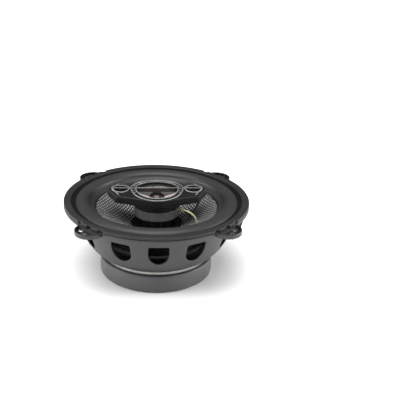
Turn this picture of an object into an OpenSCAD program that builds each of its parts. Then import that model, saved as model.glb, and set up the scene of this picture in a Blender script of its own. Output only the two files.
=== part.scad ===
// Coaxial car speaker, 130 mm class: woofer, cone midrange and two dish tweeters on one axis.
// Origin: centre of the mounting face (underside of the four ears). +Z comes out of the front.
// +X points to the electrical terminals. All sizes are millimetres.

/* [Flange and ears] */
// Outer radius of the flange and of the trim ring
flange_r = 65; // [64:0.5:66]
// Height of the flange's top face above the mounting face
flange_top = 3.3; // [3.2:0.05:3.4]
// Thickness of the four mounting ears
ear_t = 2.75; // [2.5:0.05:2.8]
// Outer radius of the ears
ear_r = 74.6; // [74.4:0.1:75]
// Diameter of the circle through the four screw holes
screw_pcd = 140; // [139.6:0.1:140.4]
// Radius of a screw hole
screw_hole_r = 2.3; // [2.1:0.1:2.4]

/* [Trim ring and surround] */
// Height of the trim ring's top above the mounting face
ring_top = 5.5; // [5.3:0.1:5.8]
// Inner radius of the trim ring
ring_in_r = 59.8; // [59.5:0.1:60.2]
// Middle radius of the rubber half roll
roll_r = 51.9; // [51.8:0.1:52]
// Half width of the half roll, measured to the middle of the rubber
roll_w = 4.75; // [4.7:0.05:4.8]
// Height of the half roll above its base
roll_h = 2.85; // [2.6:0.05:3.1]

/* [Basket] */
// Sheet thickness of the pressed steel basket
sheet_t = 1.2; // [1:0.1:1.3]
// Angle between neighbouring windows in each group of three
window_pitch = 27.6; // [27:0.1:28.5]
// Width of a window
window_w = 14.1; // [13:0.1:14.5]
// Height of the windows' flat top edge
window_top = -5.9; // [-6.5:0.1:-5.5]
// Height of the windows' round bottom
window_bottom = -21.2; // [-22:0.1:-20.5]

/* [Motor] */
// Radius of the washer-shaped top plate
top_plate_r = 37.7; // [37.5:0.1:37.7]
// Thickness of the top plate
top_plate_t = 2.5; // [2.5]
// Thickness of the ferrite ring
magnet_t = 8.6; // [8.6]
// Radius of the ferrite ring
magnet_r = 37.5; // [36:0.1:37.6]
// Outer radius of the rubber boot
boot_r = 39.7; // [39.5:0.1:40.2]
// Radius of the pole inside the voice coil
pole_r = 12.3; // [12:0.05:12.4]

/* [Cone] */
// Outer radius of the woven cone
cone_r = 46.8; // [46.8]
// Height of the cone's outer edge
cone_z = 2.2; // [2.1:0.1:2.2]
// Rise of the cone for one unit of radius
cone_slope = 0.5206; // [0.5:0.01:0.53]

/* [Pod] */
// Height of the ridge along the pod's top
pod_top = 13.6; // [13.6]
// Slope of the pod's top on both sides of its ridge
roof_deg = 6.5; // [6:0.5:7]
// Distance from the middle to the pod's pointed ends
pod_tip = 34.4; // [34.2:0.1:34.8]
// Distance from the middle to the pod's corners, along X
pod_corner_x = 28.8; // [28.6:0.1:29]
// Half depth of the pod at its corners
pod_corner_y = 11.7; // [11.5:0.1:12]
// Radius of the round bulge in the middle of the pod
pod_bulge_r = 19; // [19:0.1:19.2]
// Distance from the middle to each side tweeter
side_x = 25.5; // [25.5]

/* [Hidden] */

round_fn = 96;
small_fn = 32;
eps = 0.05;              // gap between two pieces that are glued or clamped face to face
ears = [45, 135, 225, 315];

// Flange
rim_z = 1.1;             // underside of the flange's turned-down rim
rim_t = 1.2;
flange_in_r = 57;
ear_lobe_r = 10;         // round outer end of an ear
ear_lobe_pos = ear_r - ear_lobe_r;
ear_root_r = 60;
ear_wall = 1.2;          // raised edge round the ear's thin floor
tray_in_r = 66.3;        // the thin floor starts at this distance from the axis
relief_deg = 8.5;        // reliefs stand this far either side of the ear's middle
relief_r = 2.4;
relief_pos_r = 65.8;
slot_pos = [67, 6.3];
slot_r = 1.4;
slot_half = 1.1;
seat_r = 62.5;           // the flange is lowered outside this radius at the ears
seat_half_deg = 13;

// Bowl: a cubic curve from the flange down to the floor's lip, (radius, height)
bowl_pts = [[58, rim_z], [55, -8], [52.5, -25.5], [38, -33.3]];
bowl_steps = 14;
floor_z = -33.3;
floor_in_r = 18;

// Motor, from the floor down
top_plate_in_r = 13.9;
magnet_in_r = 16;
yoke_r = 35.5;
yoke_t = 3.05;
top_plate_z = floor_z - top_plate_t;
magnet_z = top_plate_z - magnet_t;
yoke_z = magnet_z - yoke_t;
boot_top = top_plate_z - 0.15;
boot_wall = 1.9;
boot_lip_t = 1.2;
boot_z = yoke_z - eps - boot_lip_t;
boot_open_r = 30;
rivet_pos_r = 25;
rivet_r = 1.6;
screw_r = 2;
screw_head_r = 3.6;
screw_head_t = 2.2;
post_r = 4.5;
post_foot_r = 9;
post_foot_t = 1.5;

// Voice coil
former_in_r = 12.7;
former_t = 0.2;
former_r = former_in_r + former_t;
former_z = -39.2;
former_top = -14.6;
winding_t = 0.55;
winding_z = -39;
winding_len = 9;
cone_t = 0.55;           // cone thickness measured upright
neck_r = former_r + eps;
surround_t = 0.6;
lip_r = 43.2;            // inner edge of the surround's glued lip

// Spider
spider_z = -24.3;
spider_t = 0.5;
spider_wave = 0.9;
spider_waves = 5;
spider_flat = 1.6;
spider_r = 35.8;
spider_ring_r = 36.8;

// Midrange
cup_r = 16;
cup_z = -5.8;
cup_top = 1;
cup_t = 0.9;
mid_plate_r = 14.9;
mid_yoke_t = 1.65;
mid_pole_r = 6.2;
mid_hole_r = 7.4;
mid_magnet_top = 0;
mid_plate_top = 2;
mid_edge_r = 13.5;
mid_edge_z = 10;
mid_slope = 0.36;
mid_dome_r = 5.4;
mid_dome_h = 2.5;
mid_open_r = 14.56;
collar_r = 15.5;

// Pod
deck_t = 2.9;            // under the ridge
deck_z = pod_top - deck_t;
pod_z = 6.3;             // underside of the pod's wall in the middle
pod_wall = 1.6;
wing_slope_deg = 5.5;    // the wall's underside rises towards the pointed ends
bar_w = 1.3;             // bar moulded across the three openings
side_open_r = 5.4;
side_cup_r = 5.9;
dish_depth = 0.7;
base_z = 7.9;
base_t = 0.8;
trim_t = 0.25;
trim_w = 0.7;
ring_out_r = 18.15;      // outer silver ring of the midrange
side_ring_r = 6.1;
pod_screw_pos = [22, 9];

// Terminals: a frame standing on the bowl, leaning with it
term_pos = [53.3, 0, -12.5];
term_lean = 18;
lug_t = 0.8;
wide_lug = [-5.8, 4.8];  // start along Y and width
narrow_lug = [2, 2.8];

// Cone eyelets, as positions on the cone seen from the front
eyelet_light = [27.4, -12.7];
eyelet_dark = [17.5, -11.5];
eyelet_r = 1;

// Routes of the four flexible leads, chosen by hand
route_light = [[13.0, -8.1, 1.7], [15.8, -10.2, 1.9], [18.6, -11.9, 1.8], [21.4, -13, 1.1],
    [24.1, -13.5, -0.5], [26, -13.3, -2.6], [26.9, -13, -4.6]];
route_dark = [[30, -3, 7.7], [29.3, -4.2, 5.2], [27.9, -6, 2.6], [25.8, -8.2, 0],
    [23.2, -10.2, -2.8], [20.6, -11.5, -5.8], [18.2, -11.8, -8.2], [17, -11.6, -9.9]];
route_wide = [[46.2, -3.4, -10.2], [43, -4.4, -12.2], [39.4, -6.8, -13.4], [35.6, -9.4, -13.2],
    [32, -11.4, -11.8], [29.4, -12.6, -9.8], [28.3, -13.1, -8.6]];
route_narrow = [[46.2, 3.4, -10.2], [42.6, 2.6, -12.6], [38.4, 0.4, -14.6], [34, -2.8, -16.2],
    [29.4, -6.2, -16.9], [25, -9.2, -16.6], [21, -11.4, -15.2], [18.9, -12.4, -13.6]];
lead_d = 1.1;

function cone_height(r) = cone_z + (r - cone_r) * cone_slope;
function bezier(p, t) = pow(1 - t, 3) * p[0] + 3 * pow(1 - t, 2) * t * p[1]
    + 3 * (1 - t) * t * t * p[2] + pow(t, 3) * p[3];
function bezier_dir(p, t) = let (d = 3 * pow(1 - t, 2) * (p[1] - p[0])
    + 6 * (1 - t) * t * (p[2] - p[1]) + 3 * t * t * (p[3] - p[2])) d / norm(d);
function inward(p, t, w) = let (d = bezier_dir(p, t)) bezier(p, t) + w * [d[1], -d[0]];
function arc(r, a0, a1, n) = [for (i = [0:n]) let (a = a0 + (a1 - a0) * i / n) r * [cos(a), sin(a)]];

// Pod outline, moved inwards by "inset": pointed ends, four corners, a round bulge each side
function pod_corner(inset) = [pod_corner_x - 0.9 * inset, pod_corner_y - 0.95 * inset];
function pod_outline(inset) = let (
    r = pod_bulge_r - inset,
    c = pod_corner(inset),
    tip = [pod_tip - 1.25 * inset, 0],
    tangent = atan2(c[1], c[0]) + acos(r / norm(c)),
    bulge = arc(r, tangent, 180 - tangent, 24)
) concat([tip, c], bulge, [[-c[0], c[1]], -tip, -c], -bulge, [[c[0], -c[1]]]);

// A tube of "sides" flat sides swept through the points of a route
module tube(route, d, sides = 8) {
    n = len(route);
    dirs = [for (i = [0:n - 1]) let (
        v = route[min(i + 1, n - 1)] - route[max(i - 1, 0)]) v / norm(v)];
    across = [for (v = dirs) let (c = cross(v, [0, 1, 0])) c / norm(c)];
    rings = [for (i = [0:n - 1]) for (k = [0:sides - 1]) let (
        a = 360 * k / sides, other = cross(dirs[i], across[i]))
        route[i] + d / 2 * (cos(a) * across[i] + sin(a) * other)];
    walls = [for (i = [0:n - 2]) for (k = [0:sides - 1]) for (half = [0, 1])
        let (a = i * sides + k, b = i * sides + (k + 1) % sides)
        half == 0 ? [a, b, b + sides] : [a, b + sides, a + sides]];
    first = [for (k = [sides - 1:-1:0]) k];
    last = [for (k = [0:sides - 1]) (n - 1) * sides + k];
    polyhedron(rings, concat([first], walls, [last]), convexity = 4);
}

module disc(r, z0, z1, fn = round_fn) {
    translate([0, 0, z0]) cylinder(r = r, h = z1 - z0, $fn = fn);
}

module washer(r_out, r_in, z0, z1, fn = round_fn) {
    difference() {
        disc(r_out, z0, z1, fn);
        disc(r_in, z0 - 1, z1 + 1, fn);
    }
}

// An axis along the cone's outward normal at one point of the cone
module on_cone(pos) {
    translate([pos[0], pos[1], cone_height(norm(pos))])
        rotate([0, 0, atan2(pos[1], pos[0])]) rotate([0, -atan(cone_slope), 0]) children();
}

// Ear seen from the front: a round lobe whose root lies under the flange
module ear_outline() {
    difference() {
        translate([ear_lobe_pos, 0]) circle(r = ear_lobe_r, $fn = round_fn);
        circle(r = ear_root_r, $fn = round_fn);
    }
}

// Hollow of the ear above its thin floor
module ear_tray() {
    translate([0, 0, sheet_t]) difference() {
        translate([ear_lobe_pos, 0, 0]) cylinder(r = ear_lobe_r - ear_wall, h = 4, $fn = round_fn);
        translate([0, 0, -1]) cylinder(r = tray_in_r, h = 6, $fn = round_fn);
    }
}

module ear_holes() {
    translate([screw_pcd / 2, 0, -1]) cylinder(r = screw_hole_r, h = 6, $fn = small_fn);
    for (side = [-1, 1]) translate([slot_pos[0], side * slot_pos[1], -1]) {
        for (end = [-1, 1]) translate([0, end * slot_half, 0])
            cylinder(r = slot_r, h = 6, $fn = small_fn);
        translate([-slot_r, -slot_half, 0]) cube([2 * slot_r, 2 * slot_half, 6]);
    }
}

// Clearance for the screw heads in the flange's and the ring's outer wall
module screw_reliefs(z0, z1) {
    for (a = ears) for (side = [-1, 0, 1]) rotate([0, 0, a + side * relief_deg])
        translate([relief_pos_r, 0, z0]) cylinder(r = relief_r, h = z1 - z0, $fn = small_fn);
}

// A block that covers one ear's stretch of the flange outside seat_r
module ear_seat(z0, z1) {
    r = flange_r + 2;
    for (a = ears) rotate([0, 0, a]) translate([0, 0, z0]) linear_extrude(z1 - z0)
        polygon(concat(arc(r, -seat_half_deg, seat_half_deg, 8),
            arc(seat_r, seat_half_deg, -seat_half_deg, 8)));
}

// Window seen from outside: flat top with eased corners and a round bottom
module window_outline() {
    half = window_w / 2;
    ease = 1.5;
    belly = -12.5;
    drop = belly - window_bottom;
    polygon(concat(
        [for (a = [0:-30:-180]) [half * cos(a), belly + drop * sin(a)]],
        [for (a = [180:-30:90]) [-half + ease + ease * cos(a), window_top - ease + ease * sin(a)]],
        [for (a = [90:-30:0]) [half - ease + ease * cos(a), window_top - ease + ease * sin(a)]]));
}

module basket() {
    outer = [for (i = [0:bowl_steps]) bezier(bowl_pts, i / bowl_steps)];
    inner = [for (i = [bowl_steps:-1:0]) inward(bowl_pts, i / bowl_steps, sheet_t)];
    rim_in = flange_r - rim_t;
    flange_low = flange_top - sheet_t;
    color("dimgray") difference() {
        union() {
            rotate_extrude($fn = round_fn) polygon(concat(
                [[flange_in_r, flange_top], [flange_r, flange_top], [flange_r, rim_z]],
                [[rim_in, rim_z], [rim_in, flange_low], [bowl_pts[0][0] + 0.3, flange_low]],
                outer,
                [[floor_in_r, floor_z], [floor_in_r, floor_z + sheet_t]],
                inner));
            for (a = ears) rotate([0, 0, a]) linear_extrude(flange_top - eps) ear_outline();
        }
        ear_seat(ear_t, flange_top + 1);
        screw_reliefs(ear_t, flange_top + 1);
        for (a = ears) rotate([0, 0, a]) {
            ear_holes();
            ear_tray();
        }
        for (quarter = [0:90:270]) for (i = [-1, 0, 1]) rotate([0, 0, quarter + i * window_pitch])
            translate([40, 0, 0]) rotate([90, 0, 90]) linear_extrude(25) window_outline();
        for (a = ears) rotate([0, 0, a]) translate([rivet_pos_r, 0, 0])
            disc(rivet_r + eps, floor_z - 1, floor_z + 3, small_fn);
        terminal_place() terminal_rivet_axes() cylinder(r = 1.05, h = 12, center = true, $fn = small_fn);
    }
}

module trim_ring() {
    ease = 0.4;
    shelf_r = 61.2;
    shelf_z = flange_top + 0.6;
    color("#3c3c3e") difference() {
        union() {
            rotate_extrude($fn = round_fn) polygon([
                [ring_in_r, shelf_z + eps], [ring_in_r, ring_top - ease], [ring_in_r + ease, ring_top],
                [flange_r - ease, ring_top], [flange_r, ring_top - ease], [flange_r, flange_top + 0.3],
                [flange_r - 1.5, flange_top + 0.3], [flange_r - 1.5, flange_top], [shelf_r, flange_top],
                [shelf_r, shelf_z + eps]]);
            intersection() {
                washer(flange_r, seat_r + 0.3, ear_t + eps, flange_top + 0.4);
                ear_seat_trimmed();
            }
        }
        screw_reliefs(ear_t - 1, ring_top + 1);
    }
}

// The ear seats, a little narrower, for the ring's skirts that stand in them
module ear_seat_trimmed() {
    half = seat_half_deg - 0.4;
    for (a = ears) rotate([0, 0, a]) linear_extrude(ring_top)
        polygon(concat([[0, 0]], arc(flange_r + 4, -half, half, 8)));
}

module surround() {
    half = surround_t / 2;
    first = 15;
    step = 15;
    base = 2.9;
    foot_z = flange_top + eps;
    color("#2a2a2a") rotate_extrude($fn = round_fn) polygon(concat(
        [[61.1, foot_z], [61.1, foot_z + 0.5], [57.2, foot_z + 0.5]],
        [for (a = [first:step:180 - first])
            [roll_r + (roll_w + half) * cos(a), base + (roll_h + half) * sin(a)]],
        [[46.4, cone_height(46.4) + 0.5], [lip_r, cone_height(lip_r) + 0.5]],
        [[lip_r, cone_height(lip_r) + eps], [cone_r + 0.1, cone_height(cone_r + 0.1) + eps]],
        [for (a = [180 - first:-step:first])
            [roll_r + (roll_w - half) * cos(a), base + (roll_h - half) * sin(a)]],
        [[57, foot_z]]));
}

module spider_ring() {
    wall = 1.2;
    top_t = 0.8;
    top_z = spider_z - spider_t / 2 - eps;
    color("silver") rotate_extrude($fn = round_fn) polygon([
        [spider_ring_r - wall, floor_z + sheet_t + eps], [spider_ring_r, floor_z + sheet_t + eps],
        [spider_ring_r, top_z], [31.5, top_z], [31.5, top_z - top_t],
        [spider_ring_r - wall, top_z - top_t]]);
}

module spider() {
    in_r = neck_r;
    wave_in = in_r + spider_flat;
    wave_out = 31.2;
    n = spider_waves * 8;
    mid = [for (i = [0:n]) [wave_in + (wave_out - wave_in) * i / n,
        spider_z + spider_wave * sin(360 * spider_waves * i / n)]];
    half = spider_t / 2;
    color("#b8a04c") rotate_extrude($fn = round_fn) polygon(concat(
        [[in_r, spider_z + half]], [for (p = mid) p + [0, half]], [[spider_r, spider_z + half]],
        [[spider_r, spider_z - half]], [for (i = [n:-1:0]) mid[i] - [0, half]],
        [[in_r, spider_z - half]]));
}

module cone() {
    color("gray") difference() {
        rotate_extrude($fn = round_fn) polygon([
            [neck_r, cone_height(neck_r)], [cone_r, cone_height(cone_r)],
            [cone_r, cone_height(cone_r) - cone_t], [neck_r, cone_height(neck_r) - cone_t]]);
        for (p = [eyelet_light, eyelet_dark]) on_cone(p)
            cylinder(r = eyelet_r + eps, h = 6, center = true, $fn = small_fn);
    }
}

module cone_eyelets() {
    color("goldenrod") for (p = [eyelet_light, eyelet_dark]) on_cone(p) difference() {
        union() {
            disc(eyelet_r, -1.1, 0.5, small_fn);
            disc(eyelet_r + 0.7, eps, 0.35, small_fn);
            disc(eyelet_r + 0.5, -1.1, -0.75, small_fn);
        }
        disc(0.4, 0.1, 1, small_fn);
    }
}

module voice_coil_former() {
    color("tan") washer(former_r, former_in_r, former_z, former_top);
}

module voice_coil_winding() {
    color("#b06a34") washer(former_r + eps + winding_t, former_r + eps, winding_z, winding_z + winding_len);
}

module top_plate() {
    color("#5c5a4e") difference() {
        washer(top_plate_r, top_plate_in_r, top_plate_z, floor_z - 0.02);
        for (a = ears) rotate([0, 0, a]) translate([rivet_pos_r, 0, 0])
            disc(rivet_r + eps, top_plate_z - 1, floor_z + 1, small_fn);
    }
}

module motor_rivets() {
    color("silver") for (a = ears) rotate([0, 0, a]) translate([rivet_pos_r, 0, 0]) {
        disc(rivet_r, top_plate_z + 0.1, floor_z + sheet_t + 0.1, small_fn);
        disc(rivet_r + 1.2, floor_z + sheet_t + eps, floor_z + sheet_t + 0.9, small_fn);
    }
}

module magnet() {
    color("#3a3a3c") washer(magnet_r, magnet_in_r, magnet_z, top_plate_z - eps);
}

module yoke() {
    color("#8a8a80") difference() {
        union() {
            disc(yoke_r, yoke_z, magnet_z - eps);
            disc(pole_r, yoke_z, floor_z);
        }
        disc(screw_r + 0.2, yoke_z - 1, floor_z + 1, small_fn);
        disc(screw_head_r + 0.3, yoke_z - 1, yoke_z + screw_head_t, small_fn);
    }
}

module magnet_boot() {
    ease = 0.9;
    in_r = boot_r - boot_wall;
    color("#4a4a4c") rotate_extrude($fn = round_fn) polygon([
        [boot_open_r, boot_z], [boot_r - ease, boot_z], [boot_r - 0.3, boot_z + 0.3],
        [boot_r, boot_z + ease], [boot_r, boot_top - ease], [boot_r - 0.3, boot_top - 0.3],
        [boot_r - ease, boot_top], [in_r, boot_top], [in_r, boot_z + boot_lip_t],
        [boot_open_r, boot_z + boot_lip_t]]);
}

module pod_post() {
    color("#77777a") difference() {
        union() {
            disc(post_r, floor_z + eps, cup_z - eps, small_fn * 2);
            disc(post_foot_r, floor_z + eps, floor_z + post_foot_t, small_fn * 2);
        }
        disc(screw_r + eps, floor_z - 1, -18, small_fn);
    }
}

module post_screw() {
    color("silver") difference() {
        union() {
            disc(screw_r, yoke_z + 0.1, -19, small_fn);
            disc(screw_head_r, yoke_z + 0.1, yoke_z + screw_head_t - eps, small_fn);
        }
        for (a = [0, 90]) rotate([0, 0, a]) translate([-2.2, -0.4, yoke_z - 1]) cube([4.4, 0.8, 2.1]);
    }
}

module mid_cup() {
    color("#8c8c8e") difference() {
        disc(cup_r, cup_z, cup_top);
        disc(cup_r - cup_t, cup_z + cup_t, cup_top + 1);
    }
}

module mid_yoke() {
    color("#9a9a96") {
        disc(mid_plate_r, cup_z + cup_t + eps, cup_z + cup_t + mid_yoke_t);
        disc(mid_pole_r, cup_z + cup_t + eps, mid_plate_top, round_fn);
    }
}

module mid_magnet() {
    color("#3a3a3c") washer(mid_plate_r, 8.6, cup_z + cup_t + mid_yoke_t + eps, mid_magnet_top);
}

module mid_top_plate() {
    color("#9a9a96") washer(mid_plate_r, mid_hole_r, mid_magnet_top + eps, mid_plate_top);
}

// Black plastic frame of the midrange: collar below, funnel inside, seat for the diaphragm
module mid_frame() {
    color("#161616") difference() {
        rotate_extrude($fn = round_fn) polygon([
            [mid_plate_r + 0.05, cup_top + eps], [collar_r, cup_top + eps], [collar_r, pod_z - 0.2],
            [pod_bulge_r - pod_wall - 0.5, pod_z + 0.6], [pod_bulge_r - pod_wall - 0.5, deck_z - eps],
            [mid_open_r + 0.34, deck_z - eps], [mid_open_r + 0.34, mid_edge_z], [14, mid_edge_z],
            [14, 9.3], [9, 5.6], [8.2, mid_plate_top + eps], [mid_plate_r + 0.05, mid_plate_top + eps]]);
        translate([0, 0, route_light[0][2] - 0.1]) rotate([0, 0, -32]) rotate([0, 90, 0])
            translate([0, 0, 13]) cylinder(r = lead_d / 2 + 0.2, h = 5, $fn = small_fn);
    }
}

module mid_surround() {
    color("#101010") washer(mid_open_r + 0.25, mid_edge_r - 0.5, mid_edge_z + eps, mid_edge_z + 0.4);
}

module mid_diaphragm() {
    in_r = 5.2;
    low = mid_edge_z - (mid_edge_r - in_r) * mid_slope;
    color("#b98a70") rotate_extrude($fn = round_fn) polygon([
        [in_r, low], [mid_edge_r, mid_edge_z], [mid_edge_r, mid_edge_z - 0.3], [in_r, low - 0.3]]);
}

module mid_dome() {
    foot = mid_edge_z - (mid_edge_r - mid_dome_r) * mid_slope + 0.08;
    n = 8;
    color("#343436") rotate_extrude($fn = round_fn) polygon(concat(
        [[0, foot], [mid_dome_r, foot]],
        [for (i = [1:n]) let (a = 90 * i / n) [i == n ? 0 : mid_dome_r * cos(a), foot + mid_dome_h * sin(a)]]));
}

module mid_coil() {
    coil_r = 6.7;
    top = mid_edge_z - (mid_edge_r - coil_r) * mid_slope - 0.4;
    color("#b06a34") {
        washer(coil_r + 0.15, coil_r, -0.6, top);
        washer(coil_r + 0.45, coil_r, -0.4, 2.6);
    }
}

module side_holes(r, z0, z1) {
    for (side = [-1, 1]) translate([side * side_x, 0, 0]) disc(r, z0, z1, 64);
}

module pod_screw_axes() {
    for (x = [-1, 1]) for (y = [-1, 1]) translate([x * pod_screw_pos[0], y * pod_screw_pos[1], 0])
        children();
}

// Everything below the pod's sloping top, raised by "lift"
module under_roof(lift = 0) {
    reach = 25;
    eaves = pod_top + lift - reach * tan(roof_deg);
    translate([-40, 0, 0]) rotate([90, 0, 90]) linear_extrude(80)
        polygon([[-reach, 0], [reach, 0], [reach, eaves], [0, pod_top + lift], [-reach, eaves]]);
}

// Housing: one shell with a thick deck, three openings, and a bar left across each opening
module pod_housing() {
    color("#1c1c1e") difference() {
        union() {
            difference() {
                intersection() {
                    translate([0, 0, pod_z]) linear_extrude(pod_top) polygon(pod_outline(0));
                    under_roof();
                }
                translate([0, 0, pod_z - 1]) linear_extrude(deck_z - pod_z + 1)
                    polygon(pod_outline(pod_wall));
                difference() {
                    union() {
                        disc(mid_open_r, deck_z - 1, pod_top + 1);
                        side_holes(side_open_r, deck_z - 1, pod_top + 1);
                    }
                    translate([-pod_tip, -bar_w / 2, deck_z + 0.2])
                        cube([2 * pod_tip, bar_w, pod_top - deck_z]);
                }
            }
            pod_screw_axes() disc(2, base_z + base_t + eps, deck_z + 0.5, small_fn);
        }
        pod_screw_axes() disc(0.9, 0, deck_z + 0.4, small_fn);
        for (side = [0, 180]) rotate([0, 0, side]) translate([pod_bulge_r, -20, pod_z])
            rotate([0, -wing_slope_deg, 0]) translate([0, 0, -5]) cube([20, 40, 5]);
    }
}

// Two wing plates that close the housing from below
module pod_base() {
    color("#202022") difference() {
        translate([0, 0, base_z]) linear_extrude(base_t) polygon(pod_outline(pod_wall + 0.15));
        disc(pod_bulge_r - pod_wall - 0.2, base_z - 1, base_z + 2);
        pod_screw_axes() disc(1, base_z - 1, base_z + 2, small_fn);
        translate([route_dark[0][0], route_dark[0][1], base_z - 1])
            cylinder(r = lead_d / 2 + 0.15, h = 3, $fn = small_fn);
    }
}

module pod_screws() {
    color("silver") pod_screw_axes() difference() {
        union() {
            disc(0.85, base_z - 0.3, deck_z + 0.2, small_fn);
            disc(1.7, base_z - 0.8, base_z - eps, small_fn);
        }
        translate([-1.2, -0.2, base_z - 1]) cube([2.4, 0.4, 0.6]);
    }
}

// Bright trim seen from the front: rings, one long strip, wing outlines and short radial ribs
module trim_pattern() {
    half = trim_w / 2;
    rib_count = 6;
    ring2d(ring_out_r + half, ring_out_r - half, round_fn);
    ring2d(mid_open_r + trim_w, mid_open_r, round_fn);
    for (side = [-1, 1]) {
        translate([side * side_x, 0]) ring2d(side_ring_r + half, side_ring_r - half, 64);
        translate([side > 0 ? ring_out_r : -side_x - side_ring_r, -half])
            square([side_x + side_ring_r - ring_out_r, trim_w]);
        rotate(side > 0 ? 0 : 180) for (i = [0:rib_count - 1])
            rotate((i - (rib_count - 1) / 2) * 9) translate([mid_open_r + trim_w + 0.35, -0.2])
                square([ring_out_r - mid_open_r - 2 * trim_w - 0.35, 0.4]);
    }
    translate([-mid_open_r - 0.2, -half]) square([2 * mid_open_r + 0.4, trim_w]);
    difference() {
        polygon(pod_outline(1.9));
        polygon(pod_outline(2.45));
        circle(r = ring_out_r, $fn = round_fn);
    }
}

module ring2d(r_out, r_in, fn) {
    difference() {
        circle(r = r_out, $fn = fn);
        circle(r = r_in, $fn = fn);
    }
}

// The trim lies on both slopes of the deck
module pod_trim() {
    color("gainsboro") intersection() {
        linear_extrude(pod_top + 1) trim_pattern();
        difference() {
            under_roof(trim_t);
            under_roof();
        }
    }
}

module side_cup() {
    z0 = base_z + base_t + eps;
    color("#141414") difference() {
        disc(side_cup_r, z0, deck_z - eps, 64);
        disc(side_cup_r - 0.5, z0 + 0.5, deck_z + 1, 64);
    }
}

module side_dish() {
    rim = side_cup_r - 0.6;
    z = deck_z - 0.35;
    low = z - dish_depth;
    color("#8f8f92") rotate_extrude($fn = 64) polygon([
        [0, low], [1.3, low], [rim, z - 0.05], [rim, z + 0.2], [1.3, low + 0.25], [0, low + 0.25]]);
}

module side_piezo() {
    z0 = base_z + base_t + eps + 0.5;
    color("#c9b06a") disc(1.5, z0 + eps, deck_z - 0.35 - dish_depth - eps, small_fn);
}

module terminal_place() {
    translate(term_pos) rotate([0, term_lean, 0]) children();
}

module terminal_rivet_axes() {
    for (side = [-1, 1]) translate([1.6, side * 7.2, -5.4]) rotate([0, 90, 0]) children();
}

// One blade and its inner tail, grown by "gap" for the slot that it stands in
module terminal_lug(place, gap = 0) {
    translate([4.2 - gap, place[0] - gap, -11])
        cube([lug_t + 2 * gap, place[1] + 2 * gap, 13.8 + gap]);
    translate([-6.6, place[0] + place[1] / 2 - 1 - gap, 2 - gap])
        cube([11.2, 2 + 2 * gap, lug_t + 2 * gap]);
}

module terminal_block() {
    color("#1a1a1a") terminal_place() difference() {
        union() {
            translate([0.7, -8.6, -7]) cube([1.9, 17.2, 14]);
            translate([-4.6, -5.4, -4.2]) cube([5.6, 10.8, 9]);
            translate([2.5, -7.4, -3]) cube([3.8, 14.8, 8.4]);
        }
        terminal_lug(wide_lug, eps);
        terminal_lug(narrow_lug, eps);
        terminal_rivet_axes() cylinder(r = 1.05, h = 8, center = true, $fn = small_fn);
    }
}

module terminal_lugs() {
    color("goldenrod") terminal_place() for (place = [wide_lug, narrow_lug]) difference() {
        terminal_lug(place);
        translate([3, place[0] + place[1] / 2, -8.2]) rotate([0, 90, 0])
            cylinder(r = 0.6, h = 3, $fn = small_fn);
    }
}

module terminal_rivets() {
    color("silver") terminal_place() terminal_rivet_axes() {
        disc(1, -3.6, 1.3, small_fn);
        disc(1.7, 1.02, 1.6, small_fn);
    }
}

module crossover_capacitor() {
    color("#2c3f7a") translate([42.6, 0, -19.4]) rotate([90, 0, 0]) {
        disc(3.1, -5.5, 5.5, small_fn);
        disc(0.35, -7.6, 7.6, small_fn);
    }
}

module tinsel_lead_wide() { color("#a8773c") tube(route_wide, lead_d); }

module tinsel_lead_narrow() { color("#a8773c") tube(route_narrow, lead_d); }

module tweeter_lead_light() { color("#e6e0a8") tube(route_light, lead_d); }

module tweeter_lead_dark() { color("#141414") tube(route_dark, lead_d); }

basket();
trim_ring();
surround();
spider_ring();
spider();
cone();
cone_eyelets();
voice_coil_former();
voice_coil_winding();
top_plate();
motor_rivets();
magnet();
yoke();
magnet_boot();
pod_post();
post_screw();
mid_cup();
mid_yoke();
mid_magnet();
mid_top_plate();
mid_frame();
mid_surround();
mid_diaphragm();
mid_dome();
mid_coil();
pod_housing();
pod_base();
pod_screws();
pod_trim();
translate([-side_x, 0, 0]) side_cup();  // side_cup_left
translate([side_x, 0, 0]) side_cup();  // side_cup_right
translate([-side_x, 0, 0]) side_dish();  // side_dish_left
translate([side_x, 0, 0]) side_dish();  // side_dish_right
translate([-side_x, 0, 0]) side_piezo();  // side_piezo_left
translate([side_x, 0, 0]) side_piezo();  // side_piezo_right
terminal_block();
terminal_lugs();
terminal_rivets();
crossover_capacitor();
tinsel_lead_wide();
tinsel_lead_narrow();
tweeter_lead_light();
tweeter_lead_dark();
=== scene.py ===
"""Coaxial car speaker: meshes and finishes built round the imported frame.

Sizes in the classes are millimetres in the part's own frame: the origin is the middle of the
mounting face, +Z comes out of the front and +X points to the terminals.
"""
import logging
import math
from dataclasses import dataclass
from dataclasses import field as default_field
from enum import Enum
from functools import cache
from typing import Callable, Iterable, Optional, Sequence, Union

import bmesh
import bpy
from mathutils import Matrix, Vector


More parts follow.
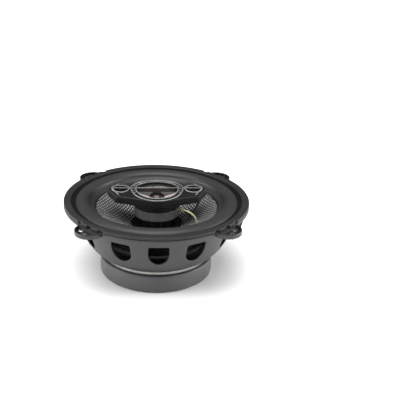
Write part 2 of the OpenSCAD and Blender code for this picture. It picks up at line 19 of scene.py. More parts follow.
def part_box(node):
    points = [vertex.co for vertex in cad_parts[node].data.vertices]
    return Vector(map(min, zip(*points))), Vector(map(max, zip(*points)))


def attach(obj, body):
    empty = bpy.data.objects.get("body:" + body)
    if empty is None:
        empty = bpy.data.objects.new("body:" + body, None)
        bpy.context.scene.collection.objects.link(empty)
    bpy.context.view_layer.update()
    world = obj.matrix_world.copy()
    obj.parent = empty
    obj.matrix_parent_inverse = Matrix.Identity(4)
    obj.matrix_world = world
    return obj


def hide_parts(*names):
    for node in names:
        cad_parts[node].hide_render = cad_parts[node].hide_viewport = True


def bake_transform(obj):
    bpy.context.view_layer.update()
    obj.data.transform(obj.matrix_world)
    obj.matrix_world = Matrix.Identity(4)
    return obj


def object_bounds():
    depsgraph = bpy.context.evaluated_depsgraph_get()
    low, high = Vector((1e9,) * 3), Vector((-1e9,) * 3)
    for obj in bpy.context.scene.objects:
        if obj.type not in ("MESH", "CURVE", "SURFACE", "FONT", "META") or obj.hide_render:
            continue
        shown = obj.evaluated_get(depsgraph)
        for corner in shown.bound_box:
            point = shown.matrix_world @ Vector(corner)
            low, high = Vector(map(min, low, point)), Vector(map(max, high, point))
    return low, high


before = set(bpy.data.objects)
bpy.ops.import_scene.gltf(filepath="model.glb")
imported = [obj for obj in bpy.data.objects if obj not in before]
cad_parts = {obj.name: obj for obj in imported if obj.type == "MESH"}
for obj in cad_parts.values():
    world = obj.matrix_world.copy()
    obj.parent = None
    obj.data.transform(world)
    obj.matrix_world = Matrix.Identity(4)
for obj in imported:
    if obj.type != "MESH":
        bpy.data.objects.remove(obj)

CAD_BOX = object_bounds()
MM = 0.001
LOG = logging.getLogger("speaker")

Point2 = tuple[float, float]
Corner = tuple[float, float, float]
Colour = tuple[float, float, float]

# Stands a flat outline up: its x and y become Y and Z, and its height becomes X
UPRIGHT = Matrix(((0, 0, 1, 0), (1, 0, 0, 0), (0, 1, 0, 0), (0, 0, 0, 1)))


class Body(Enum):
    """The rigid bodies of the part that pieces ride on."""

    FRAME = "frame"
    CONE = "cone_assembly"
    MID = "mid_assembly"


# --------------------------------------------------------------------------- shader expressions


class Field:
    """A number that varies over a surface: a value socket with Python's operators."""

    def __init__(self, tree: "Tree", socket: bpy.types.NodeSocket) -> None:
        """Wraps one output socket of a tree."""
        self.tree = tree
        self.socket = socket

    def math(self, operation: str, *others: "Operand", clamp: bool = False) -> "Field":
        """Adds a Math node.

        Args:
            operation: the node's operation.
            others: its second and third values.
            clamp: whether the result is held between 0 and 1.

        Returns:
            The node's result.
        """
        settings = {"operation": operation, "use_clamp": clamp}
        return self.tree.value("ShaderNodeMath", settings, [self, *others])

    def __add__(self, other: "Operand") -> "Field":
        """Sum."""
        return self.math("ADD", other)

    __radd__ = __add__

    def __sub__(self, other: "Operand") -> "Field":
        """Difference."""
        return self.math("SUBTRACT", other)

    def __rsub__(self, other: float) -> "Field":
        """Difference, the other way round."""
        return self.tree.value("ShaderNodeMath", {"operation": "SUBTRACT"}, [other, self])

    def __mul__(self, other: "Operand") -> "Field":
        """Product."""
        return self.math("MULTIPLY", other)

    __rmul__ = __mul__

    def __truediv__(self, other: "Operand") -> "Field":
        """Quotient."""
        return self.math("DIVIDE", other)

    def __pow__(self, other: "Operand") -> "Field":
        """Power."""
        return self.math("POWER", other)

    def __abs__(self) -> "Field":
        """Size without sign."""
        return self.math("ABSOLUTE")

    def sine(self) -> "Field":
        """Sine of an angle in radians."""
        return self.math("SINE")

    def ramp(self, low: float, high: float) -> "Field":
        """A smooth step: 0 below low, 1 above high.

        Args:
            low: value at which the step starts.
            high: value at which it ends.

        Returns:
            The stepped field.
        """
        settings = {"interpolation_type": "SMOOTHSTEP"}
        inputs = {"Value": self, "From Min": low, "From Max": high}
        return self.tree.value("ShaderNodeMapRange", settings, inputs)


Operand = Union[Field, float]
Paint = Union[Colour, bpy.types.NodeSocket]


class Tree:
    """The node tree of one material, with a Principled shader at its end."""

    def __init__(self, name: str, **sockets: object) -> None:
        """Makes the material.

        Args:
            name: the material's name.
            sockets: uniform values of the shader's sockets, with _ for each space.
        """
        self.material = bpy.data.materials.new(name)
        self.material.use_nodes = True
        self.nodes = self.material.node_tree.nodes
        self.links = self.material.node_tree.links
        self.nodes.clear()
        end = self.nodes.new("ShaderNodeOutputMaterial")
        self.shader = self.nodes.new("ShaderNodeBsdfPrincipled")
        self.links.new(self.shader.outputs[0], end.inputs["Surface"])
        self._coordinates: Optional[bpy.types.Node] = None
        for name_, value in sockets.items():
            self.plug(self.shader, name_.replace("_", " "), value)

    def plug(self, node: bpy.types.Node, key: Union[str, int], value: object) -> None:
        """Sets a socket of a node, or links something to it.

        Args:
            node: the node.
            key: the socket's name or number.
            value: a number, a colour, a Field or a socket.
        """
        socket = node.inputs[key]
        if isinstance(value, Field):
            self.links.new(value.socket, socket)
        elif isinstance(value, bpy.types.NodeSocket):
            self.links.new(value, socket)
        elif isinstance(value, tuple) and len(value) == 3 and socket.type == "RGBA":
            socket.default_value = (*value, 1.0)
        else:
            socket.default_value = value

    def node(self, kind: str, settings: Optional[dict] = None, inputs: object = ()) -> bpy.types.Node:
        """Adds a node.

        Args:
            kind: its type.
            settings: its properties, which are set first.
            inputs: values or links of its sockets, by name or in order.

        Returns:
            The node.
        """
        made = self.nodes.new(kind)
        for key, value in (settings or {}).items():
            setattr(made, key, value)
        pairs = inputs.items() if isinstance(inputs, dict) else enumerate(inputs)
        for key, value in pairs:
            self.plug(made, key, value)
        return made

    def value(self, kind: str, settings: Optional[dict] = None, inputs: object = ()) -> Field:
        """Adds a node and returns its first output as a Field."""
        return Field(self, self.node(kind, settings, inputs).outputs[0])

    @property
    def place(self) -> bpy.types.NodeSocket:
        """The point's place in the part's frame, in metres."""
        if self._coordinates is None:
            self._coordinates = self.node("ShaderNodeTexCoord")
        return self._coordinates.outputs["Object"]

    def axes(self) -> tuple[Field, Field, Field]:
        """The point's x, y and z in millimetres."""
        split = self.node("ShaderNodeSeparateXYZ", None, [self.place])
        x, y, z = (Field(self, out) / MM for out in split.outputs)
        return x, y, z

    def radius(self) -> Field:
        """Distance from the speaker's axis, in millimetres."""
        x, y, _ = self.axes()
        return (x * x + y * y) ** 0.5

    def facing(self) -> tuple[Field, Field]:
        """How far the surface faces away from the speaker's axis, and how far up."""
        x, y, _ = self.axes()
        split = self.node("ShaderNodeSeparateXYZ", None, [self._coordinates.outputs["Normal"]])
        nx, ny, nz = (Field(self, out) for out in split.outputs)
        return (nx * x + ny * y) / self.radius(), nz

    def noise(self, size: float, detail: float = 3.0, rough: float = 0.5) -> Field:
        """Cloudy noise from 0 to 1.

        Args:
            size: width of its largest features in millimetres.
            detail: how many finer layers it has.
            rough: how strong they are.

        Returns:
            The noise.
        """
        inputs = {"Vector": self.place, "Scale": 1.0 / (size * MM), "Detail": detail, "Roughness": rough}
        return self.value("ShaderNodeTexNoise", {"noise_dimensions": "3D"}, inputs)

    def mix(self, mask: Operand, low: Paint, high: Paint) -> bpy.types.NodeSocket:
        """Mixes two colours.

        Args:
            mask: 0 gives low and 1 gives high.
            low: the first colour.
            high: the second.

        Returns:
            The mixed colour's socket.
        """
        made = self.node("ShaderNodeMix", {"data_type": "RGBA"})
        for key, value in ((0, mask), (6, low), (7, high)):
            self.plug(made, key, value)
        return made.outputs[2]

    def bump(self, height: Field, depth: float, strength: float = 1.0) -> None:
        """Sends a height to the shader's normal.

        Args:
            height: the height, from 0 to 1.
            depth: what 1 stands for, in millimetres.
            strength: how much of it shows.
        """
        inputs = {"Strength": strength, "Distance": depth * MM, "Height": height}
        self.plug(self.shader, "Normal", self.node("ShaderNodeBump", None, inputs).outputs[0])


# --------------------------------------------------------------------------- finishes


@dataclass(frozen=True)
class Finish:
    """A finish: its slot in the record, its colour and how it shines.

    Each subclass adds the grain, weave or wear of its own material. A finish that shares its
    slot with another has a title of its own.
    """

    slot: str
    colour: Colour
    rough: float = 0.5
    title: str = ""

    @cache
    def material(self) -> bpy.types.Material:
        """The finished material, made once for each finish."""
        return self.build(self.title or self.slot)

    def build(self, name: str) -> bpy.types.Material:
        """Makes the material; every subclass has its own.

        Args:
            name: what the material is called.

        Returns:
            The material.
        """
        raise NotImplementedError(name)


@dataclass(frozen=True)
class Moulded(Finish):
    """Moulded plastic or rubber: spark-eroded grain and faint colour drift.

    Beyond a radius it is near-black as painted shade, for the groove between the surround's roll and the trim
    ring.
    """

    grain: float = 0.25
    depth: float = 0.02
    dust: float = 0.25
    groove_shade_from: float = 900.0

    def build(self, name: str) -> bpy.types.Material:
        """Makes the material.

        Args:
            name: what the material is called.

        Returns:
            The material.
        """
        tree = Tree(name, Specular_IOR_Level=0.3)
        drift = tree.noise(14.0, 4.0)
        fine = tree.noise(self.grain, 2.0, 0.6)
        pale = tuple(min(1.0, c * 1.5 + 0.006) for c in self.colour)
        cloud = drift.ramp(0.35, 0.8) * self.dust
        skin = tree.mix(cloud, self.colour, pale)
        # painted shade: near-black beyond a radius, for the shade in the groove outside the surround's roll
        black = tree.radius().ramp(self.groove_shade_from - 0.3, self.groove_shade_from + 0.1)
        tree.plug(tree.shader, "Base Color", tree.mix(black, skin, (0.004, 0.004, 0.004)))
        tree.plug(tree.shader, "Roughness", self.rough - 0.07 + drift * 0.1 + fine * 0.05)
        tree.bump(fine, self.depth)
        return tree.material


@dataclass(frozen=True)
class BasketPaint(Finish):
    """Satin paint on pressed steel with bright metal along the bottom lip.

    Near-black inside the bowl and on the ear tops as painted shade.
    """

    lip_z: float = -32.3
    metal: Colour = (0.88, 0.88, 0.86)
    # near-black painted shade for the inside of the bowl and the tops of the ears
    inside: Colour = (0.005, 0.005, 0.005)

    def build(self, name: str) -> bpy.types.Material:
        """Makes the material.

        Args:
            name: what the material is called.

        Returns:
            The material.
        """
        tree = Tree(name, Specular_IOR_Level=0.5)
        _, _, z = tree.axes()
        peel = tree.noise(0.9, 2.0)
        drift = tree.noise(22.0, 4.0)
        speck = tree.noise(0.35, 1.0).ramp(0.62, 0.72)
        edge = 1.0 - (z + drift * 0.5).ramp(self.lip_z, self.lip_z + 0.45)
        bare = edge * (tree.radius().ramp(33.0, 36.0))
        light = tuple(c * 1.35 for c in self.colour)
        paint = tree.mix(drift.ramp(0.3, 0.75) * 0.5 + speck * 0.06, self.colour, light)
        # painted shade: faces turned to the axis, upward faces low in the bowl and upward faces on the ears
        # take the near-black colour
        outward, upward = tree.facing()
        inner = (upward.ramp(0.3, 0.6) * (1.0 - z.ramp(-21.0, -19.0)) + (outward * -1.0).ramp(0.1, 0.4))
        inner = inner + upward.ramp(0.4, 0.8) * tree.radius().ramp(65.0, 65.6)
        paint = tree.mix(inner, paint, self.inside)
        tree.plug(tree.shader, "Base Color", tree.mix(bare, paint, self.metal))
        tree.plug(tree.shader, "Metallic", bare)
        tree.plug(tree.shader, "Roughness", self.rough + drift * 0.08 - bare * (self.rough - 0.3))
        tree.bump(peel, 0.02, 0.6)
        return tree.material


@dataclass(frozen=True)
class Plated(Finish):
    """Plated or bare metal: fine turning lines round the axis and dull patches."""

    line: float = 0.35
    depth: float = 0.006
    metallic: float = 1.0

    def build(self, name: str) -> bpy.types.Material:
        """Makes the material.

        Args:
            name: what the material is called.

        Returns:
            The material.
        """
        tree = Tree(name, Metallic=self.metallic)
        _, _, z = tree.axes()
        patch = tree.noise(7.0, 5.0, 0.6)
        dull = tuple(c * 0.7 for c in self.colour)
        lines = ((z + tree.radius() * 0.9) * (math.tau / self.line)).sine() * 0.5 + 0.5
        tree.plug(tree.shader, "Base Color", tree.mix(patch.ramp(0.35, 0.7), self.colour, dull))
        tree.plug(tree.shader, "Roughness", self.rough + (patch - 0.5) * 0.2)
        tree.bump(lines * 0.6 + tree.noise(0.3) * 0.4, self.depth)
        return tree.material


@dataclass(frozen=True)
class GlassWeave(Finish):
    """Woven glass fibre: silver warp crossings over resin-black weft, with painted light making it brightest
    near the neck.
    """

    pitch: float = 1.0
    row: float = 2.2
    silver: Colour = (0.95, 0.95, 0.96)

    def build(self, name: str) -> bpy.types.Material:
        """Makes the material.

        Args:
            name: what the material is called.

        Returns:
            The material.
        """
        tree = Tree(name, Specular_IOR_Level=0.5, Coat_Roughness=0.25, Coat_IOR=1.5)
        x, y, _ = tree.axes()
        wander = tree.noise(9.0, 2.0) * 0.5
        across = ((x + wander) * (math.pi / self.pitch)).sine()
        along = ((y + wander) * (math.pi / self.row)).sine()
        crossing = across * along
        warp = crossing.ramp(0.1, 0.5)
        weft = (crossing * -1.0).ramp(0.3, 0.9)
        strand = (x * (math.tau / (self.pitch / 5))).sine() * 0.5 + 0.5
        shine = tree.noise(5.0, 3.0).ramp(0.25, 0.75) * 0.45 + 0.55
        # painted light: the silver warp is painted brighter towards the neck
        near = 1.0 - tree.radius().ramp(20.0, 36.0) * 0.5
        grey = tuple(c * 0.12 for c in self.silver)
        cloth = tree.mix(weft * 0.6, self.colour, grey)
        cloth = tree.mix(warp * shine * near * (strand * 0.15 + 0.85), cloth, self.silver)
        tree.plug(tree.shader, "Base Color", cloth)
        tree.plug(tree.shader, "Roughness", self.rough - warp * 0.1)
        tree.plug(tree.shader, "Coat Weight", 0.1 + warp * 0.15)
        tree.bump(abs(crossing) ** 0.6 + strand * warp * 0.08, 0.16)
        return tree.material


@dataclass(frozen=True)
class CottonWeave(Finish):
    """Resin-stiffened cotton, fine and square."""

    pitch: float = 0.55

    def build(self, name: str) -> bpy.types.Material:
        """Makes the material.

        Args:
            name: what the material is called.

        Returns:
            The material.
        """
        tree = Tree(name, Specular_IOR_Level=0.3, Sheen_Weight=0.2)
        x, y, _ = tree.axes()
        crossing = (x * (math.pi / self.pitch)).sine() * (y * (math.pi / self.pitch)).sine()
        stain = tree.noise(10.0, 4.0)
        dark = tuple(c * 0.55 for c in self.colour)
        tree.plug(tree.shader, "Base Color", tree.mix(crossing.ramp(-0.6, 0.6) * stain, self.colour, dark))
        tree.plug(tree.shader, "Roughness", self.rough + stain * 0.1)
        tree.bump(abs(crossing), 0.08)
        return tree.material


@dataclass(frozen=True)
class MetalFilm(Finish):
    """Metallised plastic film with faint rings from its forming tool.

    With a far colour, the half away from the front has that colour as a painted reflection and a black
    streak as a painted reflection of the dark dome, and the near half has two bright lobes as painted
    highlights.
    """

    ring: float = 0.9
    metallic: float = 0.9
    tint: Colour = (0.35, 0.16, 0.09)
    # colour of the far half: a painted reflection
    far: Optional[Colour] = None
    painted_highlight: Colour = (1.0, 0.9, 0.87)

    def build(self, name: str) -> bpy.types.Material:
        """Makes the material.

        Args:
            name: what the material is called.

        Returns:
            The material.
        """
        tree = Tree(name, Metallic=self.metallic, Coat_Roughness=0.12)
        rings = (tree.radius() * (math.tau / self.ring)).sine() * 0.5 + 0.5
        cloud = tree.noise(4.0, 3.0)
        film = tree.mix(cloud.ramp(0.3, 0.8) * 0.6, self.colour, self.tint)
        if self.far:
            # painted reflections: bright near lobes are painted highlights, the far half and its black streak
            # are painted reflections
            x, y, _ = tree.axes()
            lean = (abs(x) * 0.8 - y * 0.6) / tree.radius()
            film = tree.mix(lean.ramp(0.7, 0.9), film, self.painted_highlight)
            film = tree.mix(y.ramp(-1.5, 2.5), film, self.far)
            film = tree.mix(y.ramp(0.5, 2.0) * (1.0 - abs(x).ramp(2.2, 4.5)), film, (0.01, 0.01, 0.01))
        tree.plug(tree.shader, "Base Color", film)
        tree.plug(tree.shader, "Roughness", self.rough + cloud * 0.08)
        tree.plug(tree.shader, "Coat Weight", 0.3 + cloud * 0.1)
        tree.bump(rings * 0.5 + cloud * 0.5, 0.015)
        return tree.material


@dataclass(frozen=True)
class Foil(Finish):
    """Hot-stamped silver foil, brushed along X with tiny pits."""

    def build(self, name: str) -> bpy.types.Material:
        """Makes the material.

        Args:
            name: what the material is called.

        Returns:
            The material.
        """
        tree = Tree(name, Metallic=0.85)
        _, y, _ = tree.axes()
        brush = (y * (math.tau / 0.09)).sine() * 0.5 + 0.5
        pit = tree.noise(0.4, 2.0)
        dull = tuple(c * 0.75 for c in self.colour)
        tree.plug(tree.shader, "Base Color", tree.mix(pit.ramp(0.4, 0.7), self.colour, dull))
        tree.plug(tree.shader, "Roughness", self.rough + pit * 0.15)
        tree.bump(brush * 0.3 + pit * 0.7, 0.006)
        return tree.material


@dataclass(frozen=True)
class Stranded(Finish):
    """Wound or braided wire: ridges across Z, or slanting with the braid, with painted shade in the grooves.
    """

    pitch: float = 0.3
    slant: float = 0.0
    metallic: float = 0.9

    def build(self, name: str) -> bpy.types.Material:
        """Makes the material.

        Args:
            name: what the material is called.

        Returns:
            The material.
        """
        tree = Tree(name, Metallic=self.metallic)
        x, y, z = tree.axes()
        turn = math.tau / self.pitch
        ridge = abs(((z + (x + y) * self.slant) * turn * 0.5).sine())
        if self.slant:
            ridge = ridge * 0.5 + abs(((z - (x - y) * self.slant) * turn * 0.5).sine()) * 0.5
        # painted shade: the grooves between strands are painted darker than the crests
        dark = tuple(c * 0.4 for c in self.colour)
        tree.plug(tree.shader, "Base Color", tree.mix(ridge.ramp(0.1, 0.8), dark, self.colour))
        tree.plug(tree.shader, "Roughness", self.rough + tree.noise(1.0) * 0.12)
        tree.bump(ridge, 0.08)
        return tree.material


@dataclass(frozen=True)
class Ferrite(Finish):
    """Ground ferrite: charcoal with a gritty skin."""

    def build(self, name: str) -> bpy.types.Material:
        """Makes the material.

        Args:
            name: what the material is called.

        Returns:
            The material.
        """
        tree = Tree(name, Specular_IOR_Level=0.5)
        grit = tree.noise(0.5, 4.0, 0.7)
        pale = tuple(c * 2.2 for c in self.colour)
        tree.plug(tree.shader, "Base Color", tree.mix(grit.ramp(0.45, 0.8), self.colour, pale))
        tree.plug(tree.shader, "Roughness", self.rough + grit * 0.1)
        tree.bump(grit, 0.04)
        return tree.material


BASKET = BasketPaint("basket_paint", (0.028, 0.028, 0.029), 0.42)
RING = Moulded("ring_rubber", (0.018, 0.018, 0.019), 0.5, grain=0.30, depth=0.03)
# the surround is near-black beyond 56.9 mm: painted shade in the groove next to the trim ring
SURROUND = Moulded("surround_rubber", (0.026, 0.026, 0.027), 0.45, grain=0.35, depth=0.012, groove_shade_from=56.9)
BOOT = Moulded("boot_rubber", (0.085, 0.085, 0.087), 0.42, grain=0.22, depth=0.014)
CONE = GlassWeave("cone_weave", (0.006, 0.006, 0.006), 0.45)
# near-black spider cloth: painted shade for the shadowed inside of the basket seen through the windows
COTTON = CottonWeave("spider_cloth", (0.006, 0.006, 0.005), 0.9)
ZINC = Plated("zinc_plate", (0.30, 0.30, 0.285), 0.34)
# near-black, not metallic: painted shade for the spider ring inside the basket
DARK_ZINC = Plated("zinc_plate", (0.01, 0.01, 0.01), 0.6, metallic=0.0, title="painted_shade_zinc")
STEEL = Plated("bright_steel", (0.62, 0.62, 0.61), 0.28)
BRASS = Plated("brass_plate", (0.78, 0.60, 0.28), 0.3)
FERRITE = Ferrite("ferrite", (0.03, 0.03, 0.033), 0.6)
# near-black former: painted shade for the dark throat of the cone
FILM = Stranded("former_paper", (0.012, 0.011, 0.010), 0.5, pitch=2.0, metallic=0.0)
COPPER_WIRE = Stranded("copper_wire", (0.75, 0.33, 0.14), 0.35, pitch=0.24)
TINSEL = Stranded("copper_wire", (0.66, 0.36, 0.18), 0.42, pitch=0.5, slant=0.8, title="tinsel_braid")
POD = Moulded("pod_plastic", (0.008, 0.008, 0.0083), 0.38, grain=0.28, depth=0.012, dust=0.15)
COLLAR = Moulded(
    "pod_plastic", (0.006, 0.006, 0.0062), 0.5, grain=0.3, depth=0.012, dust=0.1, title="collar_plastic")
CUP = Plated("cup_steel", (0.13, 0.13, 0.132), 0.42, metallic=0.35)
# near-black, not metallic: painted shade for the post in the cone's throat
DARK_CUP = Plated("cup_steel", (0.01, 0.01, 0.01), 0.55, metallic=0.0, title="painted_shade_post")
SILVER = Foil("silver_trim", (0.50, 0.50, 0.49), 0.34)
# its far half, black streak and near lobes are painted reflections and highlights
MID_FILM = MetalFilm(
    "mid_copper", (0.95, 0.56, 0.42), 0.34, metallic=0.1, tint=(0.6, 0.28, 0.18), far=(0.09, 0.088, 0.085))
MID_CLOTH = Moulded("mid_cloth", (0.008, 0.008, 0.008), 0.75, grain=0.2, depth=0.03)
DOME = MetalFilm("dome_film", (0.05, 0.045, 0.045), 0.3, tint=(0.02, 0.02, 0.02))
DISH = MetalFilm("dish_metal", (0.45, 0.45, 0.46), 0.36, tint=(0.22, 0.22, 0.22))
CREAM = Moulded("lead_cream", (0.72, 0.68, 0.40), 0.42, grain=0.5, depth=0.01, dust=0.1)
BLACK_LEAD = Moulded("lead_black", (0.010, 0.010, 0.010), 0.4, grain=0.5, depth=0.01)
SLEEVE = Moulded("capacitor_sleeve", (0.015, 0.035, 0.16), 0.25, grain=0.6, depth=0.008)
GLUE = Moulded("lead_black", (0.012, 0.011, 0.010), 0.22, grain=1.2, depth=0.05, title="lip_glue")
SKIRT = Moulded("lead_black", (0.007, 0.007, 0.007), 0.7, grain=0.4, depth=0.03, title="neck_skirt")


# --------------------------------------------------------------------------- mesh helpers


def rounded(corners: Sequence[Corner], steps: int = 5) -> list[Point2]:
    """A closed outline with each corner rounded by its own radius.

    Args:
        corners: (x, y, radius) in order; radius 0 leaves a corner sharp.
        steps: how many straight steps make up a corner's arc.

    Returns:
        The outline's points.
    """
    points: list[Point2] = []
    count = len(corners)
    for i, (x, y, radius) in enumerate(corners):
        here = Vector((x, y))
        before = Vector(corners[i - 1][:2]) - here
        after = Vector(corners[(i + 1) % count][:2]) - here
        half = before.angle(after) / 2 if before.length and after.length else 0.0
        if radius <= 0 or half < 1e-3 or half > math.pi / 2 - 1e-3:
            points.append((x, y))
            continue
        reach = min(radius / math.tan(half), 0.49 * before.length, 0.49 * after.length)
        start = here + before.normalized() * reach
        centre = here + (before.normalized() + after.normalized()).normalized() * (reach / math.cos(half))
        first = math.atan2(start.y - centre.y, start.x - centre.x)
        end = here + after.normalized() * reach
        turn = math.atan2(end.y - centre.y, end.x - centre.x) - first
        turn = (turn + math.pi) % math.tau - math.pi
        size = (start - centre).length
        for k in range(steps + 1):
            angle = first + turn * k / steps
            points.append((centre.x + size * math.cos(angle), centre.y + size * math.sin(angle)))
    return points


def arc_points(radius: float, start: float, end: float, steps: int) -> list[Point2]:
    """Points on a circle round the origin, with angles in degrees."""
    angles = (math.radians(start + (end - start) * k / steps) for k in range(steps + 1))
    return [(radius * math.cos(a), radius * math.sin(a)) for a in angles]


def polar(radius: float, degrees: float, height: float) -> Vector:
    """A point at a radius and an angle round the axis."""
    angle = math.radians(degrees)
    return Vector((radius * math.cos(angle), radius * math.sin(angle), height))


class Shape:
    """A mesh under construction, in millimetres."""

    SEGMENTS = 240

    def __init__(self, name: str) -> None:
        """Starts an empty mesh for the piece called name."""
        self.name = name
        self.mesh = bmesh.new()

    def grid(self, rows: Sequence[Sequence[Vector]], loop_rows: bool, loop_cols: bool) -> None:
        """Adds a sheet of quads through rows of points.

        Args:
            rows: rows of equal length.
            loop_rows: whether the last row joins the first.
            loop_cols: whether each row closes on itself.
        """
        made = [[self.mesh.verts.new(p) for p in row] for row in rows]
        height = len(made) if loop_rows else len(made) - 1
        width = len(made[0]) if loop_cols else len(made[0]) - 1
        for i in range(height):
            low, high = made[i], made[(i + 1) % len(made)]
            for j in range(width):
                k = (j + 1) % len(low)
                self.mesh.faces.new((low[j], low[k], high[k], high[j]))

    def spin(
        self,
        section: Union[Sequence[Point2], Callable[[float], Sequence[Point2]]],
        angles: Optional[Sequence[float]] = None,
        closed: bool = True,
        centre: Point2 = (0.0, 0.0),
    ) -> "Shape":
        """Turns a section of (radius, height) points round an upright axis.

        Args:
            section: the points, or a function that gives them for an angle in degrees.
            angles: the angles to use, in degrees; an even spread if left out.
            closed: whether the section is a closed loop.
            centre: where the axis stands.

        Returns:
            This shape.
        """
        turns = angles or [360.0 * k / self.SEGMENTS for k in range(self.SEGMENTS)]
        shift = Vector((*centre, 0.0))
        columns = [
            [polar(r, a, z) + shift for r, z in (section(a) if callable(section) else section)]
            for a in turns
        ]
        self.grid(columns, True, closed)
        return self

    def tube(self, path: Sequence[Vector], radius: float, sides: int = 14) -> "Shape":
        """Sweeps a round section along a path and closes both ends.

        Args:
            path: the centreline's points.
            radius: the tube's radius.
            sides: how many flat sides it has.

        Returns:
            This shape.
        """
        rings = []
        side = Vector((0.3, 1.0, 0.2))
        for i, point in enumerate(path):
            along = (path[min(i + 1, len(path) - 1)] - path[max(i - 1, 0)]).normalized()
            side = (side - along * side.dot(along)).normalized()
            other = along.cross(side)
            angles = (math.tau * k / sides for k in range(sides))
            rings.append([point + radius * (math.cos(a) * side + math.sin(a) * other) for a in angles])
        first, last = path[0], path[-1]
        rings = [[first] * sides, *rings, [last] * sides]
        self.grid(rings, False, True)
        return self

    def plate(self, loops: Sequence[Sequence[Point2]], low: float, high: float, ease: float) -> "Shape":
        """Adds a flat plate with holes and eased edges.

        Args:
            loops: the outline, then each hole's outline.
            low: height of its underside.
            high: height of its top.
            ease: size of the rounding along its edges.

        Returns:
            This shape.
        """
        curve = bpy.data.curves.new(self.name, "CURVE")
        curve.dimensions = "2D"
        curve.fill_mode = "BOTH"
        curve.extrude = (high - low) / 2 - ease
        curve.bevel_depth = ease
        curve.bevel_resolution = 2
        curve.offset = -ease
        for loop in loops:
            spline = curve.splines.new("POLY")
            spline.points.add(len(loop) - 1)
            spline.points.foreach_set("co", [c for x, y in loop for c in (x, y, 0.0, 1.0)])
            spline.use_cyclic_u = True
        holder = bpy.data.objects.new(self.name, curve)
        bpy.context.scene.collection.objects.link(holder)
        graph = bpy.context.evaluated_depsgraph_get()
        mesh = holder.evaluated_get(graph).to_mesh()
        mesh.transform(Matrix.Translation((0.0, 0.0, (low + high) / 2)))
        self.mesh.from_mesh(mesh)
        holder.evaluated_get(graph).to_mesh_clear()
        bpy.data.objects.remove(holder)
        bpy.data.curves.remove(curve)
        return self

    def cap(self, outline: Sequence[Point2], holes: Sequence[Sequence[Point2]], z: float) -> "Shape":
        """Fills the flat face between an outline and its holes.

        Args:
            outline: the face's outer border.
            holes: the borders of its holes.
            z: its height.

        Returns:
            This shape.
        """
        edges = []
        for loop in (outline, *holes):
            made = [self.mesh.verts.new((*p, z)) for p in loop]
            edges += [self.mesh.edges.new((made[i - 1], made[i])) for i in range(len(made))]
        bmesh.ops.triangle_fill(self.mesh, edges=edges, use_beauty=True, normal=(0, 0, 1))
        return self

    def close(self) -> None:
        """Joins points that meet and fills whatever border is still open."""
        bmesh.ops.remove_doubles(self.mesh, verts=self.mesh.verts, dist=0.002)
        bmesh.ops.holes_fill(self.mesh, edges=[e for e in self.mesh.edges if e.is_boundary], sides=0)

    def fold(self, slope: float, ridge: bool) -> "Shape":
        """Lets everything fall away on both sides of the X axis.

        Args:
            slope: fall for each millimetre.
            ridge: whether faces across the axis are first split along it.

        Returns:
            This shape.
        """
        if ridge:
            parts = [*self.mesh.verts, *self.mesh.edges, *self.mesh.faces]
            bmesh.ops.bisect_plane(self.mesh, geom=parts, plane_co=(0, 0, 0), plane_no=(0, 1, 0), dist=1e-4)
        for vertex in self.mesh.verts:
            vertex.co.z -= abs(vertex.co.y) * slope
        return self

    def place(self, matrix: Matrix) -> "Shape":
        """Moves everything made so far."""
        bmesh.ops.transform(self.mesh, matrix=matrix, verts=self.mesh.verts)
        return self

    def add(self, other: "Shape") -> "Shape":
        """Takes in another shape's mesh and empties it."""
        spare = bpy.data.meshes.new("spare")
        other.mesh.to_mesh(spare)
        self.mesh.from_mesh(spare)
        bpy.data.meshes.remove(spare)
        other.mesh.free()
        return self

    def finish(
        self,
        finish: Finish,
        body: Optional[Body] = Body.FRAME,
        nodes: Iterable[str] = (),
        sharp: float = 38.0,
    ) -> bpy.types.Object:
        """Turns the mesh into a piece of the object.

        Args:
            finish: what it is made of.
            body: what it rides on; None leaves that to the caller.
            nodes: CAD nodes that it stands for.
            sharp: edges that turn by more than this many degrees stay crisp.

        Returns:
            The new object.
        """
        bmesh.ops.remove_doubles(self.mesh, verts=self.mesh.verts, dist=0.002)
        bmesh.ops.dissolve_degenerate(self.mesh, edges=self.mesh.edges, dist=0.0005)
        bmesh.ops.recalc_face_normals(self.mesh, faces=self.mesh.faces)
        bmesh.ops.scale(self.mesh, vec=(MM, MM, MM), verts=self.mesh.verts)
        data = bpy.data.meshes.new(self.name)
        self.mesh.to_mesh(data)
        self.mesh.free()
        data.shade_smooth()
        data.set_sharp_from_angle(angle=math.radians(sharp))
        data.materials.append(finish.material())
        piece = bpy.data.objects.new(self.name, data)
        bpy.context.scene.collection.objects.link(piece)
        if body:
            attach(piece, body.value)
        for node in nodes:
            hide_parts(node)
        LOG.info("%s: %d faces, %s", self.name, len(data.polygons), finish.slot)
        return piece


class RadialBlend:
    """Holds the radii between which a ring-shaped piece would stretch from the frame to a moving body;
    applying it bakes the piece's placement.
    """

    def __init__(self, fixed: float, moving: float, body: Body) -> None:
        """Sets the radii.

        Args:
            fixed: radius at which the piece stays with the frame.
            moving: radius at which it goes with the body.
            body: the moving body.
        """
        self.fixed = fixed
        self.moving = moving
        self.body = body

    def apply(self, piece: bpy.types.Object) -> None:
        """Bakes the piece's placement into its mesh.

        Args:
            piece: the piece whose placement is baked.
        """
        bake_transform(piece)


def dress(node: str, finish: Finish) -> None:
    """Gives a CAD node that stays as it is a proper finish."""
    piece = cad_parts[node]
    piece.data.materials.clear()
    piece.data.materials.append(finish.material())
    LOG.info("%s: CAD mesh, %s", node, finish.slot)


class Room:
    """The room that a CAD node takes, in millimetres, read once."""

    def __init__(self, node: str) -> None:
        """Reads the node's box."""
        self.low, self.high = (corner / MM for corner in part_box(node))

    @property
    def radius(self) -> float:
        """Radius of a round node on the speaker's axis."""
        return self.high.x


# --------------------------------------------------------------------------- sub-assemblies


